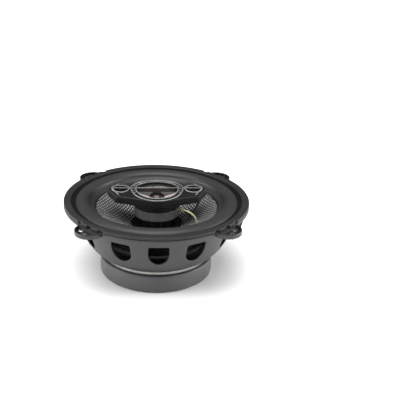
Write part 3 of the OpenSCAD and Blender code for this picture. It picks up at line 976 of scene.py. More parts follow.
@dataclass
class EarPattern:
    """Where the four mounting ears and the screw reliefs above them stand."""

    angles: tuple[float, ...] = (45.0, 135.0, 225.0, 315.0)
    seat_half: float = 13.0
    relief_turn: float = 8.5
    relief_radius: float = 2.4
    relief_place: float = 65.8

    def off_centre(self, angle: float) -> float:
        """Degrees between an angle and the nearest ear's middle."""
        return min(abs((angle - ear + 180) % 360 - 180) for ear in self.angles)

    def wall(self, angle: float, radius: float) -> float:
        """Outer radius of a wall after the reliefs are cut in it.

        Args:
            angle: the angle in degrees.
            radius: the wall's radius elsewhere.

        Returns:
            The radius there.
        """
        for ear in self.angles:
            for side in (-1, 0, 1):
                off = math.radians((angle - ear - side * self.relief_turn + 180) % 360 - 180)
                reach = self.relief_radius**2 - (self.relief_place * math.sin(off)) ** 2
                if abs(off) < 0.1 and reach > 0:
                    radius = min(radius, self.relief_place * math.cos(off) - math.sqrt(reach))
        return radius

    def turns(self) -> list[float]:
        """Angles for a wall with reliefs: even, and closer together near the ears."""
        even = [k * 1.5 for k in range(240)]
        close = [ear - self.seat_half - 1 + k * 0.25 for ear in self.angles for k in range(113)]
        steps = [side * (self.seat_half + d) for side in (-1, 1) for d in (-0.02, 0.02)]
        edges = [ear + step for ear in self.angles for step in steps]
        plain = [a for a in even if self.off_centre(a) > self.seat_half + 1.1]
        return sorted({round(a % 360, 4) for a in (*plain, *close, *edges)})


@dataclass
class Basket:
    """The pressed basket: bowl with windows, flange with a turned-down rim, four ears."""

    sheet: float = 1.2
    bowl: tuple[Point2, ...] = ((58.0, 1.1), (55.0, -8.0), (52.5, -25.5), (38.0, -33.3))
    floor_in: float = 18.0
    lip_in: float = 34.0
    lip_ease: float = 0.9
    flange_in: float = 57.0
    flange_top: float = 3.3
    rim_bottom: float = 1.1
    rim: float = 1.2
    seat: float = 62.5
    seat_top: float = 2.75
    ear_top: float = 3.25
    ear_place: float = 64.6
    ear_radius: float = 10.0
    ear_turn: float = 115.0
    ear_rise: float = 65.3
    ear_climb: float = 1.4
    ear_floor: float = 1.2
    tray_in: float = 66.3
    screw_place: float = 70.0
    screw_hole: float = 2.3
    slot_place: Point2 = (67.1, 5.75)
    slot_radius: float = 1.3
    slot_half: float = 0.95
    window_pitch: float = 27.6
    window_width: float = 14.1
    window_ease: float = 1.5
    window_top: float = -5.9
    window_belly: float = -12.5
    window_bottom: float = -21.2
    panel: Point2 = (-3.2, -24.2)
    ease: float = 0.4
    across: int = 20
    down: int = 20
    ears: EarPattern = default_field(default_factory=EarPattern)

    def skin(self, height: float, depth: float) -> Point2:
        """A point of the bowl's wall.

        Args:
            height: height on the outer skin.
            depth: distance inwards from the outer skin.

        Returns:
            (radius, height) of the point.
        """
        low, high = 0.0, 1.0
        for _ in range(40):
            middle = (low + high) / 2
            if self._curve(middle).y > height:
                low = middle
            else:
                high = middle
        point, ahead = self._curve(low), self._curve(min(1.0, low + 1e-3))
        back = self._curve(max(0.0, low - 1e-3))
        along = (ahead - back).normalized()
        return point.x + along.y * depth, point.y - along.x * depth

    def _curve(self, t: float) -> Vector:
        """The outer skin at t from 0 at the flange to 1 at the floor."""
        a, b, c, d = (Vector(p) for p in self.bowl)
        return (1 - t) ** 3 * a + 3 * (1 - t) ** 2 * t * b + 3 * (1 - t) * t * t * c + t**3 * d

    def _on_bowl(self, degrees: float, height: float, depth: float) -> Vector:
        """A point of the bowl in space."""
        radius, z = self.skin(height, depth)
        return polar(radius, degrees, z)

    def _window_loop(self) -> list[Point2]:
        """The window's outline as (degrees, height), dense and in order."""
        half = self.window_width / 2
        corners = [(x, self.window_top, self.window_ease) for x in (-half, half)]
        corners.append((half, self.window_belly, 0.0))
        drop = self.window_belly - self.window_bottom
        for k in range(1, 40):
            angle = math.pi * k / 40
            corners.append((half * math.cos(angle), self.window_belly - drop * math.sin(angle), 0.0))
        corners.append((-half, self.window_belly, 0.0))
        loop = rounded(corners, 8)
        return [(math.degrees(math.asin(w / self.skin(z, 0.0)[0])), z) for w, z in loop]

    def _panels(self) -> list[tuple[float, float, float]]:
        """Each window's middle angle and how far its stretch of wall reaches to the left and right."""
        half, wide = self.window_pitch / 2, 45.0 - self.window_pitch
        reach = {-1: (-wide, half), 0: (-half, half), 1: (-half, wide)}
        quarters = (0.0, 90.0, 180.0, 270.0)
        return [(quarter + i * self.window_pitch, *reach[i]) for quarter in quarters for i in (-1, 0, 1)]

    def _edge_loop(self, left: float, right: float) -> list[Point2]:
        """The border of a window's stretch of wall as (degrees, height)."""
        top, bottom = self.panel
        wide, tall = right - left, top - bottom
        steps = [k / self.across for k in range(self.across)]
        drops = [k / self.down for k in range(self.down)]
        loop = [(left + wide * s, top) for s in steps] + [(right, top - tall * s) for s in drops]
        return loop + [(right - wide * s, bottom) for s in steps] + [(left, bottom + tall * s) for s in drops]

    def _hole_point(self, edge: Point2, window: Sequence[Point2], middle: float) -> Point2:
        """Where the line from the window's middle to a border point crosses its outline.

        Args:
            edge: the border point, as (degrees, height).
            window: the window's outline.
            middle: height of the window's middle.

        Returns:
            The crossing, as (degrees, height).
        """
        direction = Vector((edge[0], edge[1] - middle)).normalized()
        best, found = -2.0, window[0]
        count = len(window)
        for i in range(count):
            a = Vector((window[i][0], window[i][1] - middle))
            b = Vector((window[(i + 1) % count][0], window[(i + 1) % count][1] - middle))
            span = b - a
            cross = direction.x * span.y - direction.y * span.x
            if abs(cross) < 1e-9:
                continue
            reach = (a.x * span.y - a.y * span.x) / cross
            share = (a.x * direction.y - a.y * direction.x) / cross
            if reach > 0 and -1e-6 <= share <= 1 + 1e-6 and reach > best:
                best = reach
                found = (direction.x * reach, direction.y * reach + middle)
        return found

    def _panel(self, shape: Shape, turn: float, left: float, right: float) -> None:
        """One window's stretch of the wall: both skins and the window's eased rim.

        Args:
            shape: what the stretch is added to.
            turn: angle of the window's middle.
            left: where the stretch starts, in degrees from the middle.
            right: where it ends.
        """
        edge = self._edge_loop(left, right)
        window = self._window_loop()
        middle = (self.window_top + self.window_bottom) / 2
        hole = [self._hole_point(e, window, middle) for e in edge]
        count = len(edge)
        shares = (1.0, 0.8, 0.6, 0.42, 0.27)
        rows = []
        for share in shares:
            rows.append([self._lerp(hole[i], edge[i], share, 0.0, turn) for i in range(count)])
        rim = [self._on_bowl(h[0] + turn, h[1], 0.0) for h in hole]
        deep = [self._on_bowl(h[0] + turn, h[1], self.sheet) for h in hole]
        away, inward = [], []
        for i in range(count):
            into = (deep[i] - rim[i]).normalized()
            out = (rim[(i + 1) % count] - rim[i - 1]).cross(into).normalized()
            far = self._lerp(hole[i], edge[i], 0.5, 0.0, turn) - rim[i]
            away.append(out if out.dot(far) > 0 else -out)
            inward.append(into)
        steps = 4
        for k in range(steps + 1):
            a = math.pi / 2 * k / steps
            side, depth = self.ease * (1 - math.sin(a)), self.ease * (1 - math.cos(a))
            rows.append([rim[i] + away[i] * side + inward[i] * depth for i in range(count)])
        for k in range(steps, -1, -1):
            a = math.pi / 2 * k / steps
            side, depth = self.ease * (1 - math.sin(a)), self.sheet - self.ease * (1 - math.cos(a))
            rows.append([rim[i] + away[i] * side + inward[i] * depth for i in range(count)])
        for share in reversed(shares):
            rows.append([self._lerp(hole[i], edge[i], share, self.sheet, turn) for i in range(count)])
        shape.grid(rows, False, True)

    def _lerp(self, near: Point2, far: Point2, share: float, depth: float, turn: float) -> Vector:
        """A point between the window and the border of its stretch of wall.

        Args:
            near: point on the window's outline, as (degrees, height).
            far: point on the border.
            share: 0 at the window and 1 at the border.
            depth: distance inwards from the outer skin.
            turn: angle of the window's middle.

        Returns:
            The point in space.
        """
        degrees = near[0] + (far[0] - near[0]) * share
        return self._on_bowl(degrees + turn, near[1] + (far[1] - near[1]) * share, depth)

    def _wall_rows(self, start: float, end: float, depth: float, steps: int) -> list[Point2]:
        """Points down one skin of the wall between two heights."""
        return [self.skin(start + (end - start) * k / steps, depth) for k in range(steps + 1)]

    def build(self) -> None:
        """Makes the basket."""
        shape = Shape("basket")
        panels = self._panels()
        turns = [c + a + (b - a) * k / self.across for c, a, b in panels for k in range(self.across)]
        top, bottom = self.panel
        floor = self.bowl[-1][1]
        corner = (self.bowl[-1][0] + 0.1, floor, self.lip_ease)
        lip = rounded([(*self.skin(floor + 3, 0.0), 0), corner, (self.lip_in, floor, 0)], 6)
        low = self._wall_rows(bottom, floor + 2.6, 0.0, 12) + lip[1:-1]
        low += [(self.lip_in, floor), (self.floor_in + 0.2, floor), (self.floor_in, floor + 0.2)]
        low += [(self.floor_in, floor + self.sheet - 0.2), (self.floor_in + 0.2, floor + self.sheet)]
        low += [(self.lip_in + 0.5, floor + self.sheet)]
        low += self._wall_rows(floor + 1.6, bottom, self.sheet, 12)
        shape.spin(low, turns, closed=False)
        high = self._wall_rows(top, self.bowl[0][1], 0.0, 6) + [(58.2, 2.4)]
        high += [(57.1, 2.4)] + self._wall_rows(self.bowl[0][1], top, self.sheet, 6)
        shape.spin(high, turns, closed=False)
        for panel in panels:
            self._panel(shape, *panel)
        shape.add(self._flange())
        shape.add(self._ears())
        shape.finish(BASKET, nodes=["basket"])

    def _flange(self) -> Shape:
        """The flange and its turned-down rim, lowered and relieved at the ears."""
        outer = Room("trim_ring").radius
        inner_rim = outer - self.rim
        under = self.flange_top - self.sheet

        def section(angle: float) -> list[Point2]:
            """The flange's section at an angle.

            Args:
                angle: where round the axis, in degrees.

            Returns:
                The section, as (radius, height) points.
            """
            at_ear = self.ears.off_centre(angle) < self.ears.seat_half
            top = self.seat_top if at_ear else self.flange_top
            wall = self.ears.wall(angle, outer)
            return rounded([
                (self.flange_in, self.flange_top, 0.4), (self.seat, self.flange_top, 0.0),
                (self.seat + 0.01, top, 0.0), (wall, top, 0.35), (wall, self.rim_bottom, 0.4),
                (min(inner_rim, wall - 0.5), self.rim_bottom, 0.3), (min(inner_rim, wall - 0.5), under, 0.0),
                (58.2, under, 0.3), (self.flange_in, self.rim_bottom + 0.2, 0.0)], 4)

        return Shape("flange").spin(section, self.ears.turns())

    def _ears(self) -> Shape:
        """Four ears, each a raised edge round a thin floor with three holes."""
        all_ears = Shape("ears")
        for turn in self.ears.angles:
            all_ears.add(self._ear().place(Matrix.Rotation(math.radians(turn), 4, "Z")))
        return all_ears

    def _ear(self) -> Shape:
        """One ear along +X."""
        ear = Shape("ear")
        section = [(0.3, 0.0), (0.09, 0.09), (0.0, 0.3), (0.0, -0.3), (0.09, -0.09), (0.3, 0.0), (0.9, 0.0),
                   (1.11, -0.09), (1.2, -0.3), (1.2, self.ear_floor)]
        columns = []
        for nx, ny in arc_points(1.0, -self.ear_turn, self.ear_turn, 80):
            reach = math.hypot(self.ear_place + nx * self.ear_radius, ny * self.ear_radius)
            share = min(1.0, max(0.0, (reach - self.ear_rise) / self.ear_climb))
            top = self.seat_top - 0.05 + (self.ear_top - self.seat_top) * share * share * (3 - 2 * share)
            heights = [z + (top if 2 < i < 9 else 0.0) for i, (_, z) in enumerate(section)]
            radii = [self.ear_radius - inset for inset, _ in section]
            columns.append([Vector((self.ear_place + nx * r, ny * r, z)) for r, z in zip(radii, heights)])
        ear.grid(columns, False, False)
        lip = 0.15
        for wide, narrow in zip(self._ear_holes(lip), self._ear_holes(0.0)):
            rows = [(wide, 0.0), (narrow, lip), (narrow, self.ear_floor - lip), (wide, self.ear_floor)]
            ear.grid([[Vector((*p, z)) for p in loop] for loop, z in rows], False, True)
        ear.cap([tuple(c[0].xy) for c in columns], self._ear_holes(lip), 0.0)
        ear.cap([tuple(c[-1].xy) for c in columns], self._ear_holes(lip), self.ear_floor)
        ear.close()
        root = [(60.8, -8.9), *arc_points(self.tray_in, -8.1, 8.1, 16), (60.8, 8.9)]
        return ear.add(Shape("step").plate([root], self.ear_floor - 0.2, self.seat_top - 0.01, 0.12))

    def _ear_holes(self, grow: float) -> list[list[Point2]]:
        """The round hole and the two slots of an ear along +X, made larger by grow.

        Args:
            grow: how much larger each hole is cut.

        Returns:
            One outline for each hole.
        """
        screw = arc_points(self.screw_hole + grow, 0, 360, 40)[:-1]
        loops = [[(self.screw_place + x, y) for x, y in screw]]
        arc = arc_points(self.slot_radius + grow, 0, 180, 14)
        slot = [(x, y + self.slot_half) for x, y in arc]
        slot += [(-x, -y) for x, y in slot]
        for side in (-1, 1):
            loops.append([(self.slot_place[0] + x, self.slot_place[1] * side + y) for x, y in slot])
        return loops


@dataclass
class Front:
    """What closes the front of the basket: trim ring, surround and woven cone."""

    ring_in: float = 59.8
    shelf: float = 61.2
    shelf_z: float = 3.95
    roll_middle: float = 51.9
    roll_half: float = 4.75
    roll_height: float = 2.85
    roll_base: float = 2.9
    rubber: float = 0.6
    lip: float = 43.2
    cone_edge: float = 46.8
    cone_z: float = 2.2
    slope: float = 0.5206
    cone_thick: float = 0.55
    skirt: float = 18.2
    ears: EarPattern = default_field(default_factory=EarPattern)

    def cone_height(self, radius: float) -> float:
        """Height of the cone's front face at a radius."""
        return self.cone_z + (radius - self.cone_edge) * self.slope

    def build(self) -> None:
        """Makes the three rings."""
        self.build_ring()
        self.build_surround()
        self.build_cone()

    def build_ring(self) -> None:
        """The trim ring, with reliefs and skirts above the ears."""
        room = Room("trim_ring")
        top, outer = room.high.z, room.radius

        def section(angle: float) -> list[Point2]:
            """The ring's section at an angle.

            Args:
                angle: where round the axis, in degrees.

            Returns:
                The section, as (radius, height) points.
            """
            at_ear = self.ears.off_centre(angle) < self.ears.seat_half - 0.4
            low, inner = (room.low.z, 62.8) if at_ear else (3.75, 62.6)
            wall = self.ears.wall(angle, outer)
            return rounded([
                (self.ring_in, self.shelf_z, 0.0), (self.ring_in, top, 0.55), (wall, top, 0.6),
                (wall, low, 0.15), (inner, low, 0.0), (inner, 3.3, 0.0), (self.shelf, 3.3, 0.0),
                (self.shelf, self.shelf_z, 0.0)], 5)

        Shape("trim_ring").spin(section, self.ears.turns()).finish(RING, nodes=["trim_ring"])

    def build_surround(self) -> None:
        """The rubber surround: flat outer lip, half roll and a lip glued on the cone."""
        half = self.rubber / 2

        def roll(grow: float) -> list[Point2]:
            """One skin of the half roll."""
            width, height = self.roll_half + grow, self.roll_height + grow
            turns = [(math.cos(math.radians(a)), math.sin(math.radians(a))) for a in range(12, 169, 6)]
            return [(self.roll_middle + width * c, self.roll_base + height * s) for c, s in turns]

        foot = 3.35
        skin = [(61.1, foot), (61.1, foot + 0.5), (57.6, foot + 0.5), (57.15, foot + 0.47)]
        skin += roll(half)
        lip = [46.4, 45.8, 44.6, self.lip + 0.3]
        skin += [(r, self.cone_height(r) + 0.5) for r in lip]
        skin += [(self.lip, self.cone_height(self.lip) + 0.3), (self.lip, self.cone_height(self.lip) + 0.05)]
        skin += [(self.cone_edge + 0.1, self.cone_height(self.cone_edge + 0.1) + 0.05)]
        skin += list(reversed(roll(-half))) + [(57.0, foot)]
        piece = Shape("surround").spin(skin).finish(SURROUND, None, ["surround"], sharp=50.0)
        RadialBlend(56.8, 46.9, Body.CONE).apply(piece)

    def build_cone(self) -> None:
        """The woven cone with a black skirt round its neck and a bead of glue at the rubber's lip."""
        neck = Room("voice_coil_former").radius + 0.05
        steps = 24
        radii = [neck + (self.cone_edge - neck) * k / steps for k in range(steps + 1)]
        skin = [(r, self.cone_height(r)) for r in radii]
        skin += [(r, self.cone_height(r) - self.cone_thick) for r in reversed(radii)]
        Shape("cone").spin(skin).finish(CONE, Body.CONE, ["cone"])
        height = self.cone_height
        skirt = rounded([
            (neck, height(neck) + 0.7, 0.3), (neck + 0.5, height(neck) + 0.62, 0.3),
            (neck + 1.5, height(neck + 1.5) + 0.2, 0.2), (self.skirt, height(self.skirt) + 0.16, 0.1),
            (self.skirt + 0.1, height(self.skirt) + 0.01, 0.0), (neck, height(neck) + 0.01, 0.0)], 4)
        Shape("neck_glue").spin(skirt).finish(SKIRT, Body.CONE)
        edge = self.lip - 0.02
        bead = [(edge, height(edge) + 0.02), (edge, height(edge) + 0.3)]
        bead += [(edge - 0.3, height(edge) + 0.2), (edge - 0.75, height(edge - 0.75) + 0.02)]
        Shape("lip_glue").spin(bead).finish(GLUE, Body.CONE, sharp=60.0)


@dataclass
class Motor:
    """The magnet system under the basket, and what moves in its gap."""

    boot_wall: float = 1.9
    boot_lip: float = 1.2
    boot_open: float = 30.0
    spider_in: float = 12.95
    spider_flat: float = 1.6
    spider_waves: int = 5
    spider_wave: float = 0.9
    wave_out: float = 31.2

    def build(self) -> None:
        """Makes the boot, top plate and spider, and dresses the rest."""
        self.build_boot()
        self.build_plate()
        self.build_spider()
        plain = {
            "spider_ring": DARK_ZINC, "magnet": FERRITE, "yoke": ZINC, "motor_rivets": STEEL,
            "voice_coil_former": FILM, "voice_coil_winding": COPPER_WIRE, "post_screw": STEEL,
            "pod_post": DARK_CUP,
        }
        for node, finish in plain.items():
            dress(node, finish)

    def build_boot(self) -> None:
        """The rubber boot, open at the back, with a soft rolled edge above and below."""
        room = Room("magnet_boot")
        low, high, outer = room.low.z, room.high.z, room.radius
        inner = outer - self.boot_wall
        skin = rounded([
            (self.boot_open, low, 0.5), (33.0, low, 0.3), (33.3, low + 0.25, 0.2), (34.3, low + 0.25, 0.2),
            (34.6, low, 0.3), (outer, low, 2.0), (outer, high, 0.9), (inner, high, 0.3),
            (inner, low + self.boot_lip, 0.2), (self.boot_open, low + self.boot_lip, 0.3)], 6)
        Shape("magnet_boot").spin(skin).finish(BOOT, nodes=["magnet_boot"])

    def build_plate(self) -> None:
        """The top plate with broken edges."""
        room = Room("top_plate")
        low, high, outer = room.low.z, room.high.z, room.radius
        skin = rounded([(13.9, low, 0.2), (outer, low, 0.35), (outer, high, 0.35), (13.9, high, 0.2)], 3)
        Shape("top_plate").spin(skin).finish(ZINC, nodes=["top_plate"])

    def build_spider(self) -> None:
        """The corrugated cotton spider."""
        room = Room("spider")
        middle = (room.low.z + room.high.z) / 2
        half = 0.2
        start = self.spider_in + self.spider_flat
        count = self.spider_waves * 14
        line = []
        for k in range(count + 1):
            wave = self.spider_wave * math.sin(math.tau * self.spider_waves * k / count)
            line.append((start + (self.wave_out - start) * k / count, middle + wave))
        line = [(self.spider_in, middle), *line, (room.radius, middle)]
        skin = [(r, z + half) for r, z in line] + [(r, z - half) for r, z in reversed(line)]
        piece = Shape("spider").spin(skin).finish(COTTON, None, ["spider"], sharp=60.0)
        RadialBlend(31.4, 14.2, Body.CONE).apply(piece)


@dataclass
class Midrange:
    """The cone midrange in the middle of the pod."""

    edge: float = 13.5
    edge_z: float = 10.0
    slope: float = 0.36
    hole: float = 5.2
    dome: float = 5.4
    dome_height: float = 2.5
    opening: float = 14.56
    collar: float = 15.5
    cup_wall: float = 0.9

    def height(self, radius: float) -> float:
        """Height of the diaphragm's front at a radius: slightly flared."""
        share = (radius - self.hole) / (self.edge - self.hole)
        return self.edge_z - (self.edge - radius) * self.slope - 0.35 * math.sin(math.pi * share)

    def build(self) -> None:
        """Makes the midrange from the cup up."""
        room = Room("mid_cup")
        outer, low, high = room.radius, room.low.z, room.high.z
        cup = rounded([
            (0.0, low, 0.0), (outer, low, 0.9), (outer, high, 0.25), (outer - self.cup_wall, high, 0.15),
            (outer - self.cup_wall, low + self.cup_wall, 0.2), (0.0, low + self.cup_wall, 0.0)], 5)
        Shape("mid_cup").spin(cup).finish(CUP, nodes=["mid_cup"])
        self.build_frame()
        rim, shelf = self.opening + 0.25, self.edge_z + 0.06
        wave = [(self.edge - 0.45, shelf + 0.22), (self.edge - 0.1, shelf + 0.3)]
        wave += [(13.9 + 0.42 * math.cos(a), shelf + 0.15 + 0.35 * math.sin(a))
                 for a in (math.pi * k / 8 for k in range(8, -1, -1))]
        wave += [(rim, shelf + 0.15), (rim, shelf), (13.9, shelf - 0.02), (self.edge - 0.45, shelf)]
        piece = Shape("mid_surround").spin(wave).finish(MID_CLOTH, None, ["mid_surround"])
        RadialBlend(14.5, 13.4, Body.MID).apply(piece)
        steps = 14
        radii = [self.hole + (self.edge - self.hole) * k / steps for k in range(steps + 1)]
        skin = [(r, self.height(r)) for r in radii]
        skin += [(r, self.height(r) - 0.25) for r in reversed(radii)]
        Shape("mid_diaphragm").spin(skin).finish(MID_FILM, Body.MID, ["mid_diaphragm"])
        foot = self.height(self.dome) + 0.08
        dome = [(0.0, foot), (self.dome, foot), (self.dome, foot + 0.25), (self.dome - 0.35, foot + 0.3)]
        wide, tall = self.dome - 0.4, self.dome_height - 0.3
        dome += [(wide * c, foot + 0.3 + tall * s) for c, s in arc_points(1.0, 0, 90, 16)]
        Shape("mid_dome").spin(dome, closed=True).finish(DOME, Body.MID, ["mid_dome"])
        for node, finish in {"mid_yoke": ZINC, "mid_magnet": FERRITE, "mid_top_plate": ZINC}.items():
            dress(node, finish)
        dress("mid_coil", COPPER_WIRE)

    def build_frame(self) -> None:
        """The black frame: collar, flare and the seat of the diaphragm."""
        room = Room("mid_frame")
        outer, low, high = room.radius, room.low.z, room.high.z
        skin = rounded([
            (14.95, low, 0.1), (self.collar, low, 0.2), (self.collar, 5.6, 0.6), (outer, 7.0, 0.4),
            (outer, high, 0.2), (self.opening + 0.34, high, 0.1), (self.opening + 0.34, self.edge_z, 0.0),
            (14.0, self.edge_z, 0.1), (14.0, 9.3, 0.2), (9.0, 5.6, 0.4), (8.2, 2.05, 0.0),
            (14.95, 2.05, 0.0)], 4)
        Shape("mid_frame").spin(skin).finish(COLLAR, nodes=["mid_frame"])


@dataclass
class Pod:
    """The bridge pod: housing with three openings, its bright trim and the side tweeters."""

    tip: float = 34.4
    corner: Point2 = (28.8, 11.7)
    bulge: float = 19.0
    wall: float = 1.6
    deck: float = 2.9
    roof_slope: float = math.tan(math.radians(6.5))
    bar: float = 1.3
    side_place: float = 25.5
    side_open: float = 5.4
    side_ring: float = 6.1
    mid_open: float = 14.56
    mid_ring: float = 18.15
    trim: float = 0.7
    wing_slope: float = math.tan(math.radians(5.5))
    floor: float = 6.3

    def outline(self, inset: float) -> list[Point2]:
        """The pod's outline seen from the front, moved inwards.

        Args:
            inset: how far inwards.

        Returns:
            The points; every inset gives the same number.
        """
        radius = self.bulge - inset
        cx, cy = self.corner[0] - 0.9 * inset, self.corner[1] - 0.95 * inset
        tangent = math.degrees(math.atan2(cy, cx) + math.acos(radius / math.hypot(cx, cy)))
        ease = max(0.25, 0.9 - inset * 0.3)
        tip = self.tip - 1.25 * inset
        side = [(tip, 0.0, 0.6), (cx, cy, ease)]
        side += [(x, y, 0.0) for x, y in arc_points(radius, tangent, 180 - tangent, 40)]
        side += [(-cx, cy, ease)]
        return rounded(side + [(-x, -y, r) for x, y, r in side], 6)

    def build(self) -> None:
        """Makes the pod."""
        self.build_housing()
        self.build_trim()
        self.build_tweeters()
        dress("pod_base", COLLAR)
        dress("pod_screws", STEEL)

    def _openings(self, grow: float) -> list[list[Point2]]:
        """The six half-round openings, left and right of the bar, made larger by grow.

        Args:
            grow: how much larger each opening is cut.

        Returns:
            One outline for each opening.
        """
        loops = []
        places = [(0.0, self.mid_open), *((side * self.side_place, self.side_open) for side in (-1, 1))]
        for place, radius in places:
            size = radius + grow
            start = math.degrees(math.asin((self.bar / 2 - grow) / size))
            for turn in (0, 180):
                arc = arc_points(size, start + turn, 180 - start + turn, 40 if radius > 10 else 24)
                loops.append([(place + x, y) for x, y in arc])
        return loops

    def build_housing(self) -> None:
        """The shell: outer wall, deck with the openings, inner wall."""
        shape = Shape("pod_housing")
        top = Room("pod_housing").high.z
        under = top - self.deck
        ease = 0.45

        def level(inset: float, z: float, sloped: bool) -> list[Vector]:
            """The outline at one height; the underside rises towards the tips."""
            rise = self.wing_slope if sloped else 0.0
            return [Vector((x, y, z + max(0.0, abs(x) - self.bulge) * rise)) for x, y in self.outline(inset)]

        levels = [level(self.wall, under, False), level(self.wall, self.floor, True)]
        levels += [level(0.25, self.floor, True), level(0.0, self.floor + 0.25, True)]
        for k in range(5):
            a = math.pi / 2 * k / 4
            inset, drop = ease * (1 - math.cos(a)), ease * (1 - math.sin(a))
            levels.append([Vector((*p, self.roof(top - drop, p[1]))) for p in self.outline(inset)])
        shape.grid(levels, False, True)
        edge = 0.18
        for wide, narrow in zip(self._openings(edge), self._openings(0.0)):
            rows = [[Vector((*p, self.roof(top, p[1]))) for p in wide]]
            rows += [[Vector((*p, self.roof(top - edge, p[1]))) for p in narrow]]
            shape.grid([*rows, [Vector((*p, under)) for p in narrow]], False, True)
        roof = Shape("roof").cap(self.outline(ease), self._openings(edge), top)
        shape.add(roof.fold(self.roof_slope, True))
        shape.cap(self.outline(self.wall), self._openings(0.0), under)
        shape.finish(POD, nodes=["pod_housing"], sharp=30.0)

    def roof(self, ridge: float, y: float) -> float:
        """Height of the deck's shallow roof at y, for a given ridge height."""
        return ridge - abs(y) * self.roof_slope

    def build_trim(self) -> None:
        """Silver rings, the long strip, the wing lines and short radial ribs."""
        room = Room("pod_trim")
        high = room.high.z
        low = high - 0.27
        half = self.trim / 2
        shape = Shape("pod_trim")
        rings = [(0.0, self.mid_ring, half), (0.0, self.mid_open + half, half)]
        rings += [(side * self.side_place, self.side_ring, half) for side in (-1, 1)]
        for place, radius, width in rings:
            inside, outside = radius - width, radius + width
            skin = rounded([
                (inside, low, 0.0), (inside, high, 0.12), (outside, high, 0.12), (outside, low, 0.0)], 3)
            shape.spin(skin, centre=(place, 0.0))
        reach = self.side_place + self.side_ring
        inner = self.mid_open + half
        for start, end in ((-reach, -self.mid_ring), (self.mid_ring, reach), (-inner, inner)):
            shape.plate([self._strip(start, end, half)], low, high, 0.08)
        for side in (-1, 1):
            shape.plate([self._wing_line(side)], low, high, 0.06)
            for k in range(6):
                turn = Matrix.Rotation(math.radians((k - 2.5) * 9 + (0 if side > 0 else 180)), 4, "Z")
                start, end = self.mid_open + self.trim + 0.4, self.mid_ring - half - 0.3
                rib = Shape("rib").plate([self._strip(start, end, 0.2)], low, high, 0.05)
                shape.add(rib.place(turn))
        shape.fold(self.roof_slope, False).finish(SILVER, nodes=["pod_trim"])

    @staticmethod
    def _strip(start: float, end: float, half: float) -> list[Point2]:
        """A straight strip along X, twice half wide."""
        return [(start, -half), (end, -half), (end, half), (start, half)]

    def _wing_line(self, side: int) -> list[Point2]:
        """A narrow band that follows one wing's outline from the middle ring round and back.

        Args:
            side: -1 for the left wing and 1 for the right.

        Returns:
            The band's outline.
        """
        def run(inset: float) -> list[Point2]:
            """One edge of the band, in order round the wing."""
            near = self.mid_ring + 0.25
            points = [p for p in self.outline(inset) if p[0] * side > 0 and math.hypot(*p) > near]
            return sorted(points, key=lambda p: math.atan2(p[1], p[0] * side))

        return run(1.9) + list(reversed(run(2.5)))

    def build_tweeters(self) -> None:
        """Two side tweeters: cup, piezo disc and spun dish."""
        for name, side in (("left", -1), ("right", 1)):
            room = Room(f"side_dish_{name}")
            rim, top = (room.high.x - room.low.x) / 2, room.high.z
            low = room.low.z
            rise = top - 0.25 - low
            skin = [(0.0, low + 0.02), (1.2, low + 0.02)]
            skin += [(1.2 + (rim - 1.2) * k / 8, low + rise * (k / 8) ** 1.4) for k in range(1, 9)]
            skin += [(rim, top)]
            skin += [(1.3 + (rim - 1.3) * k / 8, low + 0.25 + rise * (k / 8) ** 1.4) for k in range(7, 0, -1)]
            skin += [(1.25, low + 0.5), (0.9, low + 0.62), (0.0, low + 0.7)]
            dish = Shape(f"side_dish_{name}").spin(skin, centre=(side * self.side_place, 0.0))
            dish.finish(DISH, nodes=[f"side_dish_{name}"])
            dress(f"side_cup_{name}", COLLAR)
            dress(f"side_piezo_{name}", BRASS)


@dataclass
class Lead:
    """A flexible lead held at both ends: one on the frame, the other on the cone."""

    name: str
    finish: Finish
    route: tuple[tuple[float, float, float], ...]
    diameter: float = 1.1

    def path(self, steps: int = 5) -> list[Vector]:
        """The route as one smooth curve.

        Args:
            steps: points made for each stretch of the route.

        Returns:
            The curve's points.
        """
        points = [Vector(p) for p in self.route]
        points = [points[0] * 2 - points[1], *points, points[-1] * 2 - points[-2]]
        curve = []
        for a, b, c, d in zip(points, points[1:], points[2:], points[3:]):
            for k in range(steps):
                t = k / steps
                curve.append(0.5 * ((2 * b) + (c - a) * t + (2 * a - 5 * b + 4 * c - d) * t**2
                                    + (3 * b - a - 3 * c + d) * t**3))
        curve.append(points[-2])
        return curve

    def build(self) -> None:
        """Makes the lead, bakes its placement and logs its length."""
        line = self.path()
        length = sum((b - a).length for a, b in zip(line, line[1:]))
        piece = Shape(self.name).tube(line, self.diameter / 2).finish(self.finish, None, [self.name])
        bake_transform(piece)
        LOG.info("%s: %.1f mm long", self.name, length)


